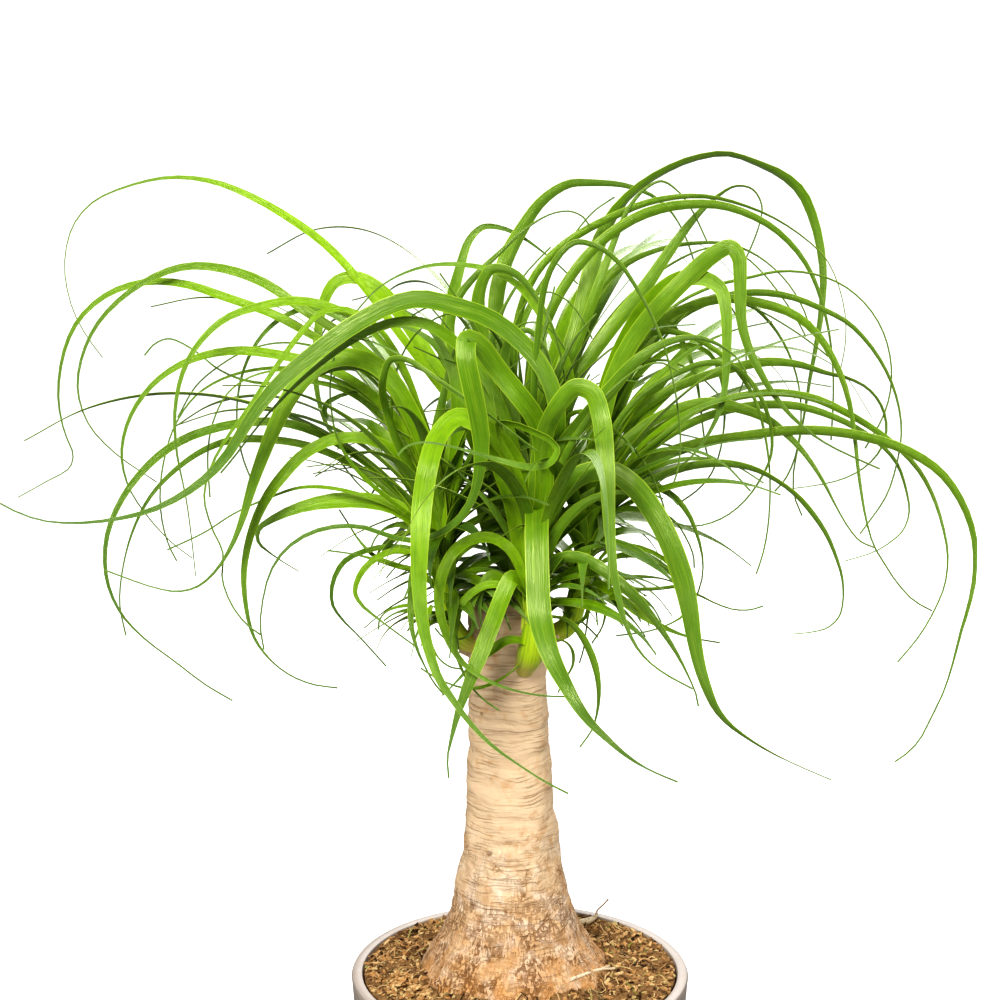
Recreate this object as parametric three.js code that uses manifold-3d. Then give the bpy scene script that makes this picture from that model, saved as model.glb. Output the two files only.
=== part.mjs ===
// A potted ponytail palm: plastic pot, peaty soil, swollen trunk cut off at the top, and four leafy
// shoots that sprout below the cut. Millimetres, +Z up, origin at the centre of the pot's underside.
import * as THREE from 'three';
import { mergeVertices } from 'three/addons/utils/BufferGeometryUtils.js';
import Module from 'manifold-3d';

const wasm = await Module();
wasm.setup();

// Pot
const POT_HEIGHT = 130;
const POT_RIM_RADIUS = 85;
const POT_RIM_BAND = 15;
const POT_BAND_STEP = 3.4;
const POT_SHOULDER_DROP = 4;
const POT_RIM_INNER_RADIUS = 79.3;
const POT_WALL = 2.4;
const POT_FOOT_RADIUS = 59;
const POT_FLOOR = 3;
const POT_SIDES = 40;

// Soil
const FIT_GAP = 0.3;
const SOIL_EDGE_HEIGHT = 125.4;
const SOIL_MOUND = 7;
const SOIL_LUMP = 1.5;
const SOIL_SECTORS = 30;
const SOIL_RINGS = [0.52, 0.72, 0.88];

// Trunk: height, radius and sideways shift of its axis
const TRUNK_PROFILE = [
  [86, 30, -3.2], [92, 41, -3.2], [102, 48.5, -3.2], [116, 50, -3.2], [126, 48.6, -3.2], [133, 46.4, -3.3],
  [140, 41.8, -3.7], [150, 35.8, -3.8], [160, 31.6, -3.6], [170, 28.9, -4], [180, 26.6, -4.5],
  [193, 24.2, -4], [208, 22.7, -4.4], [224, 21.5, -5], [245, 20.2, -5.2], [270, 19.3, -5.6],
  [290, 19.1, -6.2], [310, 19.3, -6.4], [322, 19.4, -6.5], [326, 18.2, -6.5],
];
const TRUNK_SIDES = 20;
const TRUNK_RING_STEP = 9.6;
const TRUNK_SCAR_DEPTH = 0.45;

// The viewpoint that the leaf routes are read from, and the line of sight through each point
const EYE = new THREE.Vector3(-10, -953, 547);

// Blades: the widths in the tables are the widest; a blade opens from its base and tapers to its tip
const BLADE_MIN_WIDTH = 1;
const BLADE_DEPTH = [0.9, 1.4];
const BLADE_DEPTH_SHARE = 0.17;
const BLADE_BASE_SHARE = 0.72;
const BLADE_OPENING_SHARE = 0.14;
const BLADE_TAPER_FROM = 0.48;
const BLADE_TAPER_POWER = 1.3;
const BLADE_SURE_TURN = 0.42;
const BLADE_STEP = 36;
const BLADE_BEND_COST = 17;

// Sides of a shoot's core and of a dry stalk
const CORE_SIDES = 9;
const STALK_SIDES = 5;

// Cut stubs on the trunk: foot, end, radius
const TRUNK_STUBS = [
  [[-18, 1, 292], [-29.5, -1, 297], 3.4],
  [[8, -8, 301], [19, -13, 305.5], 3],
];

// Dry bits on the soil, as routes of [sideways, height, towards the viewer], and their radius
const STRAW = [
  [[26, 123.5, 34], [33, 126.2, 26], [40, 128.9, 14], [47, 131.2, 3]],
  [[37, 127.8, 20], [42, 129, 13], [48, 129.4, 9]],
];
const STRAW_RADIUS = 0.9;
const TWIG = [
  [[28, 153.2, -58], [38, 157, -60], [39, 160.5, -61], [42, 163.5, -62], [44.5, 166.5, -62]],
];
const TWIG_RADIUS = 1.5;

const COLOURS = {
  pot: 0xcfc4bb,
  soil: 0x5b4028,
  trunk: 0xdcb88a,
  straw: 0xd9c08f,
  leaf: 0x6f9f1e,
};

// Shoots: axis as [sideways, height, towards the viewer, radius], foot in the trunk first
const SHOOTS = {
  left: [[-20, 297, 4, 5], [-31, 303, 10, 7.5], [-37, 318, 14, 8], [-38, 342, 15, 8.5],
    [-40, 368, 15, 9], [-45, 392, 14, 4]],
  front: [[2, 287, 16, 6], [5, 294, 28, 8.6], [6.5, 311, 34, 8.2], [7, 335, 36, 8.5], [7, 358, 37, 9],
    [7, 382, 40, 4]],
  right: [[10, 303, 6, 5], [22, 307, 10, 6.5], [28, 320, 12, 7.6], [31, 342, 12, 8.2],
    [34, 370, 12, 9], [40, 394, 12, 4]],
  back: [[-4, 300, -12, 5], [-3, 308, -24, 8], [0, 326, -31, 8.6], [2, 352, -34, 9],
    [4, 384, -38, 9.5], [10, 412, -42, 4]],
};

// Leaves, foot to tip: shoot, width, [distance towards the viewer along the leaf], [turn of the blade
// from face-on in degrees along the leaf], [route as sideways and height in the trunk's own plane]
const LEAVES = [
  // Long arches to the left
  ['left', 4.9, [15, 8, -6, -10, 0], [40, 30, 20, 20, 30, 60],
    [[-38, 350], [-46, 395], [-60, 428], [-80, 447], [-104, 463], [-122, 475.5], [-140, 482], [-157, 483.5],
      [-172, 479.5], [-188, 470], [-202, 456], [-210, 440], [-212.5, 424], [-208, 408], [-196, 394],
      [-176, 379.5]]],
  ['left', 4.6, [15, 0, -20, -34], [35, 60, 30, 20, 25, 60],
    [[-37, 355], [-43, 392], [-60, 420], [-80, 439], [-100, 450.5], [-118, 460.5], [-140, 468.5], [-160, 475],
      [-178, 476], [-196, 470.5], [-210, 459], [-218, 444], [-222, 422], [-220, 405], [-216, 393],
      [-218, 386.5], [-229, 380], [-243.5, 372]]],
  ['left', 4.6, [15, 20, 25, 20], [40, 60, 25, 30, 60],
    [[-38, 352], [-44, 400], [-58, 435], [-72, 453], [-88, 463], [-106, 467], [-124, 464.5], [-140, 459],
      [-152, 449], [-161, 435], [-166, 416], [-166, 395], [-162, 371], [-159.8, 350], [-158.5, 333]]],
  ['left', 4.2, [15, 0, -15, -20], [40, 60, 30, 20],
    [[-39, 350], [-50, 400], [-66, 438], [-84, 457], [-100, 463.5], [-113, 459.5], [-124, 450], [-132, 436],
      [-136, 420], [-136.3, 404], [-134, 391], [-130, 380]]],
  ['left', 4.9, [15, 12, 8, 0, -10], [35, 30, 25, 30, 60],
    [[-38, 345], [-46, 385], [-60, 410], [-78, 427], [-98, 437], [-115, 441], [-132, 443.2], [-148, 441.8],
      [-163, 436.5], [-177, 426.5], [-188, 411], [-192.5, 394], [-190, 378], [-182, 364], [-170, 350],
      [-160, 342]]],
  ['left', 3, [15, 0, -12], [35, 30, 20],
    [[-38, 340], [-50, 385], [-66, 410], [-84, 424], [-102, 428.5], [-120, 427.3], [-134, 429.5],
      [-145, 434.5], [-157, 444], [-168, 449], [-175, 446.5], [-180, 441]]],
  ['left', 4.6, [15, 5, 10, 20, 25], [35, 30, 25, 25, 30],
    [[-38, 338], [-48, 362], [-62, 378], [-80, 393], [-98, 403.5], [-115, 408.5], [-132, 408.5],
      [-148, 405.5], [-163, 400], [-178, 389.5], [-192, 373], [-201, 353], [-202, 332], [-196, 315],
      [-185, 302], [-170, 290], [-155, 278], [-142, 270]]],
  ['left', 4.2, [15, -5, -15, -20], [35, 30, 25, 30],
    [[-38, 336], [-50, 358], [-64, 375], [-82, 388.5], [-102, 397], [-122, 400.3], [-140, 399.8],
      [-154, 394.5], [-168, 384.5], [-180, 371.5], [-189, 354], [-194.5, 334], [-196, 318], [-193.5, 303]]],
  ['left', 9.1, [16, 28, 36, 40, 42, 38], [30, 20, 25, 25, 60, 30],
    [[-37, 350], [-43, 385], [-54, 415], [-67, 434], [-82, 440], [-96, 436.5], [-108, 425], [-117, 409],
      [-124, 393], [-130, 377], [-135, 361], [-141, 347], [-149, 335], [-158, 327.5], [-168, 325.2],
      [-180, 327.5], [-203, 336]]],
  ['left', 7, [15, 24, 28], [35, 30, 20],
    [[-38, 345], [-44, 380], [-53, 408], [-64, 427], [-76, 434.8], [-90, 434], [-101, 428.5],
      [-108.5, 419]]],
  ['left', 5.7, [15, 25, 30, 28], [35, 25, 20, 20, 30],
    [[-38, 342], [-46, 372], [-58, 392], [-74, 400.5], [-90, 400.3], [-104, 393.5], [-115, 382.5],
      [-124, 370], [-131, 354], [-134.8, 336], [-134.3, 318], [-131, 303], [-124.5, 292.5], [-115, 284],
      [-103, 278.5], [-90, 276.5]]],
  ['left', 8.3, [15, 12, 14, 8], [30, 25, 20, 60],
    [[-38, 335], [-48, 356], [-60, 366.5], [-76, 370.3], [-92, 370], [-106, 367.3], [-118, 362.5],
      [-127, 356.5], [-127.5, 350], [-120, 343], [-108, 335.3]]],
  ['left', 2.9, [16, 26, 34, 40], [30, 25, 25],
    [[-37, 352], [-44, 395], [-56, 435], [-70, 456], [-84, 463], [-95, 461.5], [-103, 454], [-111, 444],
      [-121, 430], [-132, 414], [-142, 400.5], [-149.5, 387], [-153.3, 372], [-150, 357], [-145, 345],
      [-145.5, 331], [-141, 318], [-134, 308.5], [-127.5, 303.5]]],
  ['left', 2, [15, -10, -30, -30], [30, 30, 30],
    [[-38, 348], [-52, 390], [-75, 420], [-105, 434], [-135, 432.5], [-155, 422.5], [-166, 408],
      [-171.5, 393], [-174.5, 376], [-174, 360], [-171, 348], [-167.5, 340.5]]],
  ['left', 1.8, [15, -5, -15], [30, 30],
    [[-38, 350], [-50, 398], [-72, 430], [-98, 445], [-116, 447], [-132, 443], [-145, 435.5], [-156, 426],
      [-165, 411]]],
  ['left', 1.8, [15, 5, -5], [30, 30],
    [[-38, 346], [-52, 395], [-78, 424], [-105, 433.5], [-126, 432], [-140, 423.5], [-148, 409],
      [-151, 393], [-150.5, 372]]],
  ['left', 2, [15, 18, 22], [30, 30],
    [[-38, 340], [-55, 362], [-80, 374], [-105, 377], [-125, 370.5], [-139, 364], [-154, 354.5],
      [-172, 346]]],
  // Short and thin leaves low on the left
  ['left', 3, [15, 0, -10], [30, 20, 30],
    [[-38, 325], [-48, 334], [-60, 338], [-70, 342], [-78, 350], [-84, 359.5], [-88, 366]]],
  ['left', 2.7, [15, 10, 8], [30, 30, 20],
    [[-38, 322], [-50, 335], [-62, 338.5], [-72, 341.5], [-82, 344], [-94, 345.7]]],
  ['left', 3.1, [15, 0, -15], [35, 30, 30],
    [[-38, 330], [-48, 344], [-62, 347.5], [-76, 345.3], [-86, 340], [-91.5, 330], [-92, 319],
      [-87.5, 311.5], [-79, 302.5], [-66, 287.5]]],
  ['left', 3.4, [15, 22, 28], [35, 25, 30],
    [[-38, 328], [-48, 341], [-60, 345.5], [-70, 342], [-78, 334], [-80.8, 325], [-78, 319], [-70, 311.8],
      [-60, 304], [-50, 296.5]]],
  ['left', 4.2, [15, 5, -5], [30, 15, 20],
    [[-38, 332], [-46, 350], [-56, 358.3], [-65, 357], [-70.5, 352], [-73, 346.5]]],
  ['left', 3.8, [15, 26, 34], [20, 20, 20],
    [[-38, 322], [-45, 331], [-52, 331], [-57, 321.5]]],
  ['left', 3.4, [14, 24, 30], [20, 20, 20],
    [[-38, 308], [-46, 314.5], [-55, 315.8], [-62, 314], [-67, 310.5]]],
  ['left', 2.2, [14, 10, 5], [20, 20],
    [[-38, 310], [-47, 317], [-57, 318], [-65, 315.5], [-69, 311], [-69.5, 306]]],
  ['left', 2.3, [15, 28, 36], [35, 30, 30],
    [[-38, 340], [-48, 357], [-60, 368], [-72, 378], [-82, 389], [-88.5, 401], [-91, 414], [-91.5, 427],
      [-89.5, 440]]],
  ['left', 1.8, [15, 0, -20], [30, 30],
    [[-38, 345], [-52, 360], [-66, 369], [-76, 376], [-83, 384], [-88, 391]]],
  ['left', 3.4, [15, 25, 34, 36], [20, 15, 15],
    [[-38, 325], [-46, 338], [-52, 335], [-53.5, 322], [-53.5, 309], [-51, 297], [-47, 287.5],
      [-42.5, 279], [-38, 273.5]]],
  ['left', 2.5, [14, 28, 34, 34], [20, 20],
    [[-38, 312], [-43, 318], [-45.5, 309], [-44, 299.5], [-40, 291.5], [-34.5, 287.2], [-29.5, 286.2]]],
  ['left', 2, [15, 18, 22, 24], [30, 30],
    [[-37, 355], [-48, 378], [-57, 392], [-61.5, 405], [-62.3, 418], [-60.3, 431], [-56.5, 442],
      [-50, 451.5], [-42, 458], [-34, 461], [-27, 459.5]]],
  ['left', 4.6, [15, 20, 30, 56, 66, 68, 66], [30, 30, 40, 30, 30],
    [[-38, 352], [-50, 380], [-59, 398], [-64.5, 415], [-66, 429], [-62.5, 438.5], [-55, 439], [-40, 429.5],
      [-27, 420.5], [-15.5, 412.5], [-3, 403], [8, 394.5]]],
  ['left', 7.4, [15, 12, 10, 4, 0, 2], [20, 20, 20, 75, 20, 20],
    [[-38, 348], [-50, 375], [-62, 396], [-74, 408.5], [-86, 409.5], [-93.5, 410.5], [-94, 417],
      [-86, 422], [-74, 423.5], [-62, 418]]],
  // Broad leaves that fold over and hang in front
  ['front', 9.1, [36, 42, 58, 80, 88, 94, 100, 106, 112], [10, 20, 20, 5, 5, 10, 20, 15],
    [[7, 345], [4, 372], [-6, 394], [-18, 406], [-30, 411], [-39, 403], [-44.5, 388], [-47.5, 370],
      [-49, 350], [-49.5, 330], [-48, 310], [-45, 296], [-40.5, 282], [-34, 271.5], [-26, 260], [-14, 247],
      [0, 236.5], [12, 228.5], [24, 222]]],
  ['front', 9.1, [36, 48, 66, 84, 78, 66, 60, 56, 52], [10, 10, 10, 20, 60, 60, 30, 30],
    [[7, 345], [11.5, 385], [8, 408], [1, 419], [-10.5, 433], [-20, 446], [-25.5, 448.5], [-26, 440],
      [-23, 425],
      [-20, 410],
      [-18.5, 397], [-19.5, 386], [-22, 374], [-28, 363], [-38, 354.5], [-50, 350.5], [-62, 352],
      [-76, 357], [-90, 357.5], [-104, 353.5], [-115, 345.5], [-122, 335], [-126, 321], [-127.5, 308],
      [-126, 296]]],
  ['front', 11, [36, 46, 62, 72, 80, 88, 94, 100], [10, 10, 10, 15, 25, 20],
    [[7, 335], [7.5, 355], [8, 366.5], [8, 352], [8.5, 333], [9.5, 315], [13, 299], [17.5, 287.5],
      [23, 277], [29, 266.5], [35, 258.5], [42, 251.5], [50, 244], [58, 238], [67, 233], [78.5, 228]]],
  ['front', 8.3, [34, 44, 56, 62, 66, 68], [10, 20, 15, 15],
    [[5, 318], [1, 328], [-4, 331.5], [-8, 324], [-12.5, 312], [-17, 300], [-21.5, 288.5], [-26, 277],
      [-30, 266], [-33.5, 253], [-36, 241], [-35.5, 230]]],
  ['front', 4.6, [30, 38, 42, 44, 45], [20, 15, 15],
    [[5, 293], [1, 299.5], [-6, 300.5], [-13, 296.5], [-20, 291], [-27, 284.5], [-33, 278],
      [-38.5, 272.5]]],
  ['front', 5.3, [34, 46, 58, 64, 68, 66], [30, 20, 20, 15, 20],
    [[6, 318], [0, 336], [-6, 347], [-14, 351.8], [-24, 351], [-32, 345.5], [-37.5, 335.5], [-39.8, 322],
      [-38, 309], [-33.5, 297], [-27, 288], [-18, 281.3], [-8, 276.8], [4, 273.6], [14, 272.3],
      [24, 272]]],
  ['front', 3.7, [33, 42, 48, 52, 54], [20, 20, 25],
    [[3, 312], [-2, 324], [-9, 328.3], [-17, 328.3], [-24, 324.3], [-29.5, 317.5], [-32, 308], [-32, 297],
      [-29, 286.5], [-24.5, 277.5], [-18, 270.5], [-10.5, 265]]],
  ['front', 5.3, [32, 35, 38, 40], [15, 15, 10],
    [[2, 315], [-6, 328], [-14, 333], [-19, 327], [-20, 317], [-18.5, 304]]],
  ['front', 3.1, [32, 38, 44, 44, 42], [20, 20],
    [[-2, 318], [-12, 328], [-20, 326], [-24, 317], [-22.8, 309], [-25, 303.3], [-31, 301], [-37.5, 302],
      [-42, 307]]],
  ['front', 1.8, [26, 36, 42, 44], [20, 20],
    [[2, 291], [-3, 286], [-10, 280.5], [-18, 277], [-27, 276.3], [-36, 279], [-43, 282.5],
      [-49, 286.5]]],
  ['front', 3.8, [34, 40, 44, 46], [30, 25, 25],
    [[7, 312], [14, 312.5], [21, 311.5], [28, 305.5], [33.5, 296.5], [37.2, 286], [38.7, 275], [38, 264],
      [35.5, 255], [29.5, 246]]],
  ['front', 2.2, [33, 36, 38, 38], [30, 25],
    [[9, 300], [16, 301], [22, 300], [25.5, 295], [25.8, 288.5], [22.5, 281.5], [18.5, 274]]],
  ['front', 8.5, [36, 48, 66, 80, 88, 94, 98, 104], [10, 10, 20, 10, 5, 15, 15, 20],
    [[7, 352], [8, 378], [11, 400], [17, 415], [26, 425.3], [34, 423], [38.5, 411], [40.5, 396], [42, 380],
      [42.6, 366], [43.6, 352], [45, 338], [47.5, 324], [51, 310.5], [56, 299], [62.5, 290.5], [71, 283.8],
      [79, 279.2], [85, 276]]],
  ['front', 5.9, [36, 48, 58, 64, 68], [30, 20, 25, 15],
    [[8, 326], [13, 335.5], [20, 341.8], [29, 342], [38, 337.5], [47, 330.5], [56, 322.5], [64, 313],
      [71.5, 302.5], [78, 292], [83, 282], [86.5, 274], [88, 267]]],
  ['front', 10, [36, 46, 56, 64, 70, 76, 80, 84], [15, 20, 10, 10, 20, 60, 60],
    [[8, 350], [18, 372], [30, 383], [44, 384.5], [54, 378], [62, 368.5], [69, 357], [75, 343.5],
      [79.5, 330], [82.7, 316], [85, 302], [88, 288], [92, 276], [96.5, 266], [103, 258], [112, 251],
      [124, 243.5], [138, 236.5], [155, 229]]],
  ['front', 5.2, [36, 52, 62, 74, 90, 102, 106], [35, 60, 65, 60, 20, 15, 20],
    [[6, 355], [0, 380], [-10, 400], [-11, 408.5], [-3, 408], [6, 404.5], [14, 400.5], [17.8, 395.5],
      [15, 389.5], [8, 386.8], [-2, 388], [-12, 390.8], [-24, 394.3], [-36, 397.5], [-47, 399], [-55, 397],
      [-59.5, 392.5]]],
  ['front', 3.4, [35, 42, 46, 48], [15, 15],
    [[6, 338], [0, 345], [-6, 355], [-13, 366], [-21, 375.5], [-29, 383.5], [-35, 390]]],
  ['front', 3.1, [36, 46, 52, 50, 48], [20, 20, 30],
    [[8, 358], [6, 400], [8, 450], [14, 482], [25, 494.5], [36, 492.8], [46, 485.5], [55, 473],
      [62, 460.5], [68, 446.5], [72.5, 431], [75.5, 415], [77, 399], [76, 386], [74, 379]]],
  ['front', 8.7, [36, 46, 54, 60, 62, 64, 64], [35, 30, 20, 25, 20, 20, 30, 30],
    [[8, 360], [15, 390], [17, 415], [10, 435], [-2, 449], [-16, 459], [-32, 464.5], [-48, 467.8],
      [-62, 464.8], [-78, 456.5], [-94, 445.5], [-109, 434], [-122, 421], [-132, 407.5], [-141, 393.5],
      [-151, 382.5], [-164, 373], [-180, 365.3], [-198, 361], [-216, 359.3], [-232, 360.5],
      [-246, 365.5], [-262, 375]]],
  ['front', 5.3, [36, 44, 50, 52], [30, 20, 15, 20, 15],
    [[6, 358], [-2, 392], [-14, 425], [-30, 446], [-47, 456.5], [-64, 456], [-80, 448.5], [-94, 438.5],
      [-107, 427.5], [-119, 415.5], [-130, 402.5], [-139, 391], [-145, 384]]],
  ['front', 3.8, [36, 46, 50, 50], [30, 30],
    [[6, 352], [-6, 388], [-20, 412], [-34, 425], [-48, 435], [-60, 442.5], [-72, 447.8],
      [-84, 449.7]]],
  // Right side: two that fold over, and long arches
  ['right', 8.3, [12, 14, 16, 22, 30, 32, 32, 30], [10, 10, 10, 5, 10, 15, 20],
    [[32, 360], [37, 400], [46, 434], [58, 455], [70, 469], [82, 481], [92, 489.5], [99, 492.5],
      [103, 488], [104, 478], [104.3, 466], [105.5, 455], [109, 444], [114, 434], [120, 424], [128, 414],
      [137, 405.5], [147, 398.5], [160, 392], [173.5, 386]]],
  ['right', 8.5, [12, 10, 10, 20, 28, 28, 24], [10, 20, 10, 5, 5, 20, 60],
    [[32, 355], [35, 395], [42, 428], [52, 452], [64, 469], [76, 477.5], [88, 477.5], [95, 472.5],
      [97.7, 462], [98.3, 450], [98.4, 438], [98, 427], [96.5, 417], [92.5, 407], [87, 397.5],
      [80, 389.5], [71, 382.5], [61, 375]]],
  ['right', 3.2, [12, 5, 0, 5, 8, 8], [30, 30],
    [[32, 358], [37, 410], [46, 438], [57, 449.5], [68, 452.5], [80, 450.5], [90, 445.5], [99, 438.5],
      [107, 429], [113.5, 417], [117.5, 403], [120, 388], [120.8, 372], [120, 356], [118, 344],
      [115, 334]]],
  ['right', 2.5, [12, 20, 28, 30, 28], [30, 30],
    [[30, 365], [24, 395], [22, 410], [28, 414], [36, 411.5], [45, 405], [54, 396.5], [61, 387],
      [66, 377], [69.5, 367], [70.5, 361]]],
  ['right', 4.8, [12, 5, 0, -5, -14, -20, -20], [30, 30, 20, 20, 60, 30, 60],
    [[32, 352], [36, 382], [46, 402.5], [58, 415], [72, 424.3], [87, 430.5], [102, 435], [117, 437.8],
      [132, 436.8], [146, 432.5], [158, 429.5], [167, 424.5], [173.5, 416], [176, 405], [173.5, 395.5],
      [167, 387.5], [158, 382], [147, 378.7], [132.5, 376.5]]],
  ['right', 5.7, [12, 8, 2, 5, 14, 20], [30, 25, 20, 15, 20, 30],
    [[33, 362], [39, 382], [48, 396.5], [60, 407], [74, 414.5], [89, 418], [104, 415.8], [118, 410.5],
      [129, 402], [138.5, 391.5], [146.5, 379.5], [153, 367.5], [159, 357.5], [165, 350.5],
      [172, 347.2]]],
  ['right', 4.2, [12, 0, -10, -15, -10, 0, 5], [30, 30, 30, 25, 20, 20, 30],
    [[33, 358], [40, 380], [52, 395.5], [68, 406.5], [86, 415], [104, 421], [122, 423], [140, 420.5],
      [156, 413.5], [170, 405.3], [183, 395.5], [193, 384.5], [200, 372], [205, 358], [208, 344],
      [207.3, 329], [202.5, 315.5], [195.5, 302.5], [185.5, 289.5]]],
  ['right', 5.2, [12, 5, 10, 20, 25, 30], [35, 30, 30, 30, 20, 15, 15, 30],
    [[33, 352], [42, 374], [54, 386.5], [70, 393.8], [88, 399], [108, 402], [128, 404.5], [148, 404.3],
      [168, 401], [186, 395], [202, 385], [213, 371], [220, 354], [221.8, 337], [220, 321], [216, 304.5],
      [213, 290], [209, 275], [203.5, 262], [198, 250], [192, 243], [186, 238.5]]],
  ['right', 4.6, [12, -5, -15, -20, -15], [35, 30, 30, 20, 30, 60],
    [[33, 350], [44, 376], [58, 392], [75, 404.5], [94, 413], [114, 417], [134, 416.3], [150, 411.5],
      [164, 404.5], [175, 396.5], [182, 388], [186.5, 376], [188.5, 365], [186, 356], [180, 350],
      [172, 345], [158, 340.5]]],
  ['right', 3.2, [12, 12, 12, 10, 10], [30, 25, 30],
    [[33, 355], [40, 395], [54, 418], [72, 431], [90, 437.5], [103, 434.5], [112, 426], [118, 414.5],
      [121, 402], [120.5, 391.5], [116.5, 382], [110, 372], [101.5, 364], [92, 359.3], [82, 357.8],
      [70, 361]]],
  ['right', 3.4, [12, -5, -10], [30, 30],
    [[33, 358], [38, 395], [46, 425], [57, 437], [68, 438.8], [78, 435.8], [87, 430], [94.5, 422.5]]],
  ['right', 4.9, [12, 0, -10, -8], [20, 15, 20],
    [[33, 360], [40, 410], [52, 445], [63, 457.5], [72, 455], [79, 443.5], [83.5, 432], [86, 419],
      [87.7, 406], [89.5, 395], [91.8, 387]]],
  ['right', 3.2, [12, -5, -15, -15], [30, 20, 30],
    [[33, 358], [42, 405], [60, 436], [78, 446], [90, 442], [96, 430], [98, 415], [97.5, 403],
      [95.5, 392], [91.5, 382.5], [85.5, 375.5], [78, 370]]],
  ['right', 4.2, [12, 18, 26, 28, 25, 20], [30, 30, 25, 60, 20, 20, 60],
    [[33, 348], [42, 364], [54, 375], [68, 382.5], [83, 387.5], [98, 388.6], [112, 386], [124, 380],
      [134, 372.5], [142, 363.5], [148.5, 354], [153.5, 343], [157, 332], [157.8, 321], [156, 312.5],
      [150.5, 307], [142, 304.7], [132.5, 303.8]]],
  ['right', 3.6, [12, 18, 22, 22], [30, 30],
    [[33, 350], [42, 366], [53, 375.5], [64, 377.3], [74, 372.5], [81.5, 363.5], [86.3, 352],
      [88.8, 341], [88.5, 331], [84.5, 318.5]]],
  ['right', 2, [12, 10, 5], [30, 30],
    [[30, 325], [42, 329], [55, 326.5], [66, 326.5], [77, 327.5], [86, 324], [95, 319.5], [104, 316.3],
      [112, 316], [119, 318]]],
  ['right', 3.4, [12, 18, 20], [30, 30],
    [[30, 330], [40, 339.5], [51, 343.3], [61, 341.8], [70, 337.5], [76, 333]]],
  ['right', 2.7, [12, 5, 0], [30, 30],
    [[30, 322], [42, 329], [54, 332.3], [65, 332.3], [73, 330.5], [79, 327]]],
  ['right', 4.6, [12, 28, 36, 40], [30, 20, 30],
    [[29, 322], [36, 328.5], [44, 325.5], [53, 318.5], [62, 312], [71, 307], [80, 303.3], [89, 301],
      [98, 299.5]]],
  ['right', 2.5, [12, 20, 28, 32], [30, 30],
    [[31, 335], [45, 348], [62, 346], [76, 336], [83, 322], [80, 313.5], [72, 308.3], [62, 305],
      [47, 303]]],
  ['right', 2.7, [12, 20, 24], [30, 30],
    [[28, 318], [33, 328], [38, 323.5], [41.3, 316], [40.3, 308], [35, 299]]],
  ['right', 2.7, [12, 20, 23], [30, 30],
    [[28, 322], [32, 326], [33.5, 319], [32, 312.5], [28, 309.3], [22, 311], [17, 313]]],
  ['right', 1.6, [12, 5, 0], [30, 30],
    [[30, 335], [37, 338], [36, 328], [33.5, 316], [32, 304], [31, 296], [29, 289]]],
  ['right', 4.9, [12, 20, 24], [15, 20],
    [[32, 355], [39, 364], [40, 356], [36.5, 349], [32, 342]]],
  ['right', 1.6, [12, -10, -25], [30, 30],
    [[33, 362], [50, 420], [76, 458], [93, 470], [102, 461], [106.5, 450], [107.8, 438], [107, 430],
      [104.8, 423]]],
  ['right', 1.8, [12, 8, 4], [30, 30],
    [[32, 350], [46, 364], [62, 366], [74, 361], [81, 351], [84.2, 343], [84.7, 337]]],
  ['right', 4.6, [12, 5, 0, -5, 0, 10, 10], [30, 30, 25, 15, 25, 15, 30],
    [[33, 365], [42, 415], [54, 445], [68, 458.5], [84, 465.5], [100, 468], [116, 465.5], [130, 460.5],
      [141, 451.5], [149, 440], [155, 427], [158.7, 414], [161, 401], [162.7, 388], [165, 374],
      [168, 360], [172, 348], [177.5, 339], [184, 329.5], [192, 321], [201.5, 315.5]]],
  ['right', 2.7, [12, -10, -20, -15], [30, 25],
    [[33, 365], [44, 420], [62, 452], [84, 467], [104, 468], [115, 460.5], [124, 449.5], [130.5, 436],
      [134, 422], [134.7, 407], [132.5, 392], [128, 381], [123, 375]]],
  ['right', 2, [12, -5, -10], [30, 30],
    [[33, 366], [46, 425], [68, 456], [92, 468.5], [112, 463], [126, 455.5], [138, 447.5],
      [147, 440.5]]],
  ['right', 1.8, [12, -20, -30, -30], [30, 30],
    [[33, 368], [48, 430], [70, 462], [90, 473.5], [108, 478], [122, 481], [138, 480], [152, 475],
      [164, 465.5], [172.5, 453], [177, 438], [177.3, 424], [174, 411], [166, 396]]],
  ['right', 3.8, [12, -10, -20, -20, -15], [30, 25, 25, 30],
    [[33, 368], [50, 428], [74, 458], [95, 468.5], [112, 471], [128, 469], [143, 463.3], [156, 456.5],
      [167, 445.5], [175.5, 432.5], [181, 418.5], [183.3, 404], [181.5, 388], [177, 372.5],
      [165, 354]]],
  // Tall leaves from behind
  ['back', 8.5, [-35, -50, -60, -75, -85, -90], [15, 20, 20, 30, 20, 15],
    [[3, 375], [-6, 425], [-12, 462], [-8, 484], [0, 500], [10, 514], [22, 521.8], [34, 522.5],
      [48, 521.5], [60, 517.5], [69, 511], [75.5, 502], [79.5, 493], [82.5, 484]]],
  ['back', 8.5, [-36, -45, -60, -70, -80, -85, -80, -75, -70], [20, 20, 15, 60, 70, 25, 20, 20, 30],
    [[4, 380], [16, 420], [27, 455], [34, 485], [42, 505], [54, 519.5], [68, 529.5], [82, 535.5],
      [97, 537.5], [111, 533], [123, 527], [131.5, 519], [137.5, 507], [141.5, 493], [143.5, 478],
      [143, 462], [141, 446], [138.5, 430], [136.5, 414], [134, 398], [131.8, 384], [132.5, 373],
      [136.5, 363]]],
  ['back', 7.5, [-36, -45, -50, -60, -70, -72], [15, 20, 15, 15, 60, 15],
    [[5, 380], [24, 425], [44, 455], [58, 472], [70, 490], [81, 505], [91, 515], [101, 521],
      [109, 519.5], [113.5, 512], [112.5, 503], [109.5, 494], [106, 486]]],
  ['back', 4.5, [-36, -50, -55, -60, -62], [35, 30, 30, 60, 65],
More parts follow.
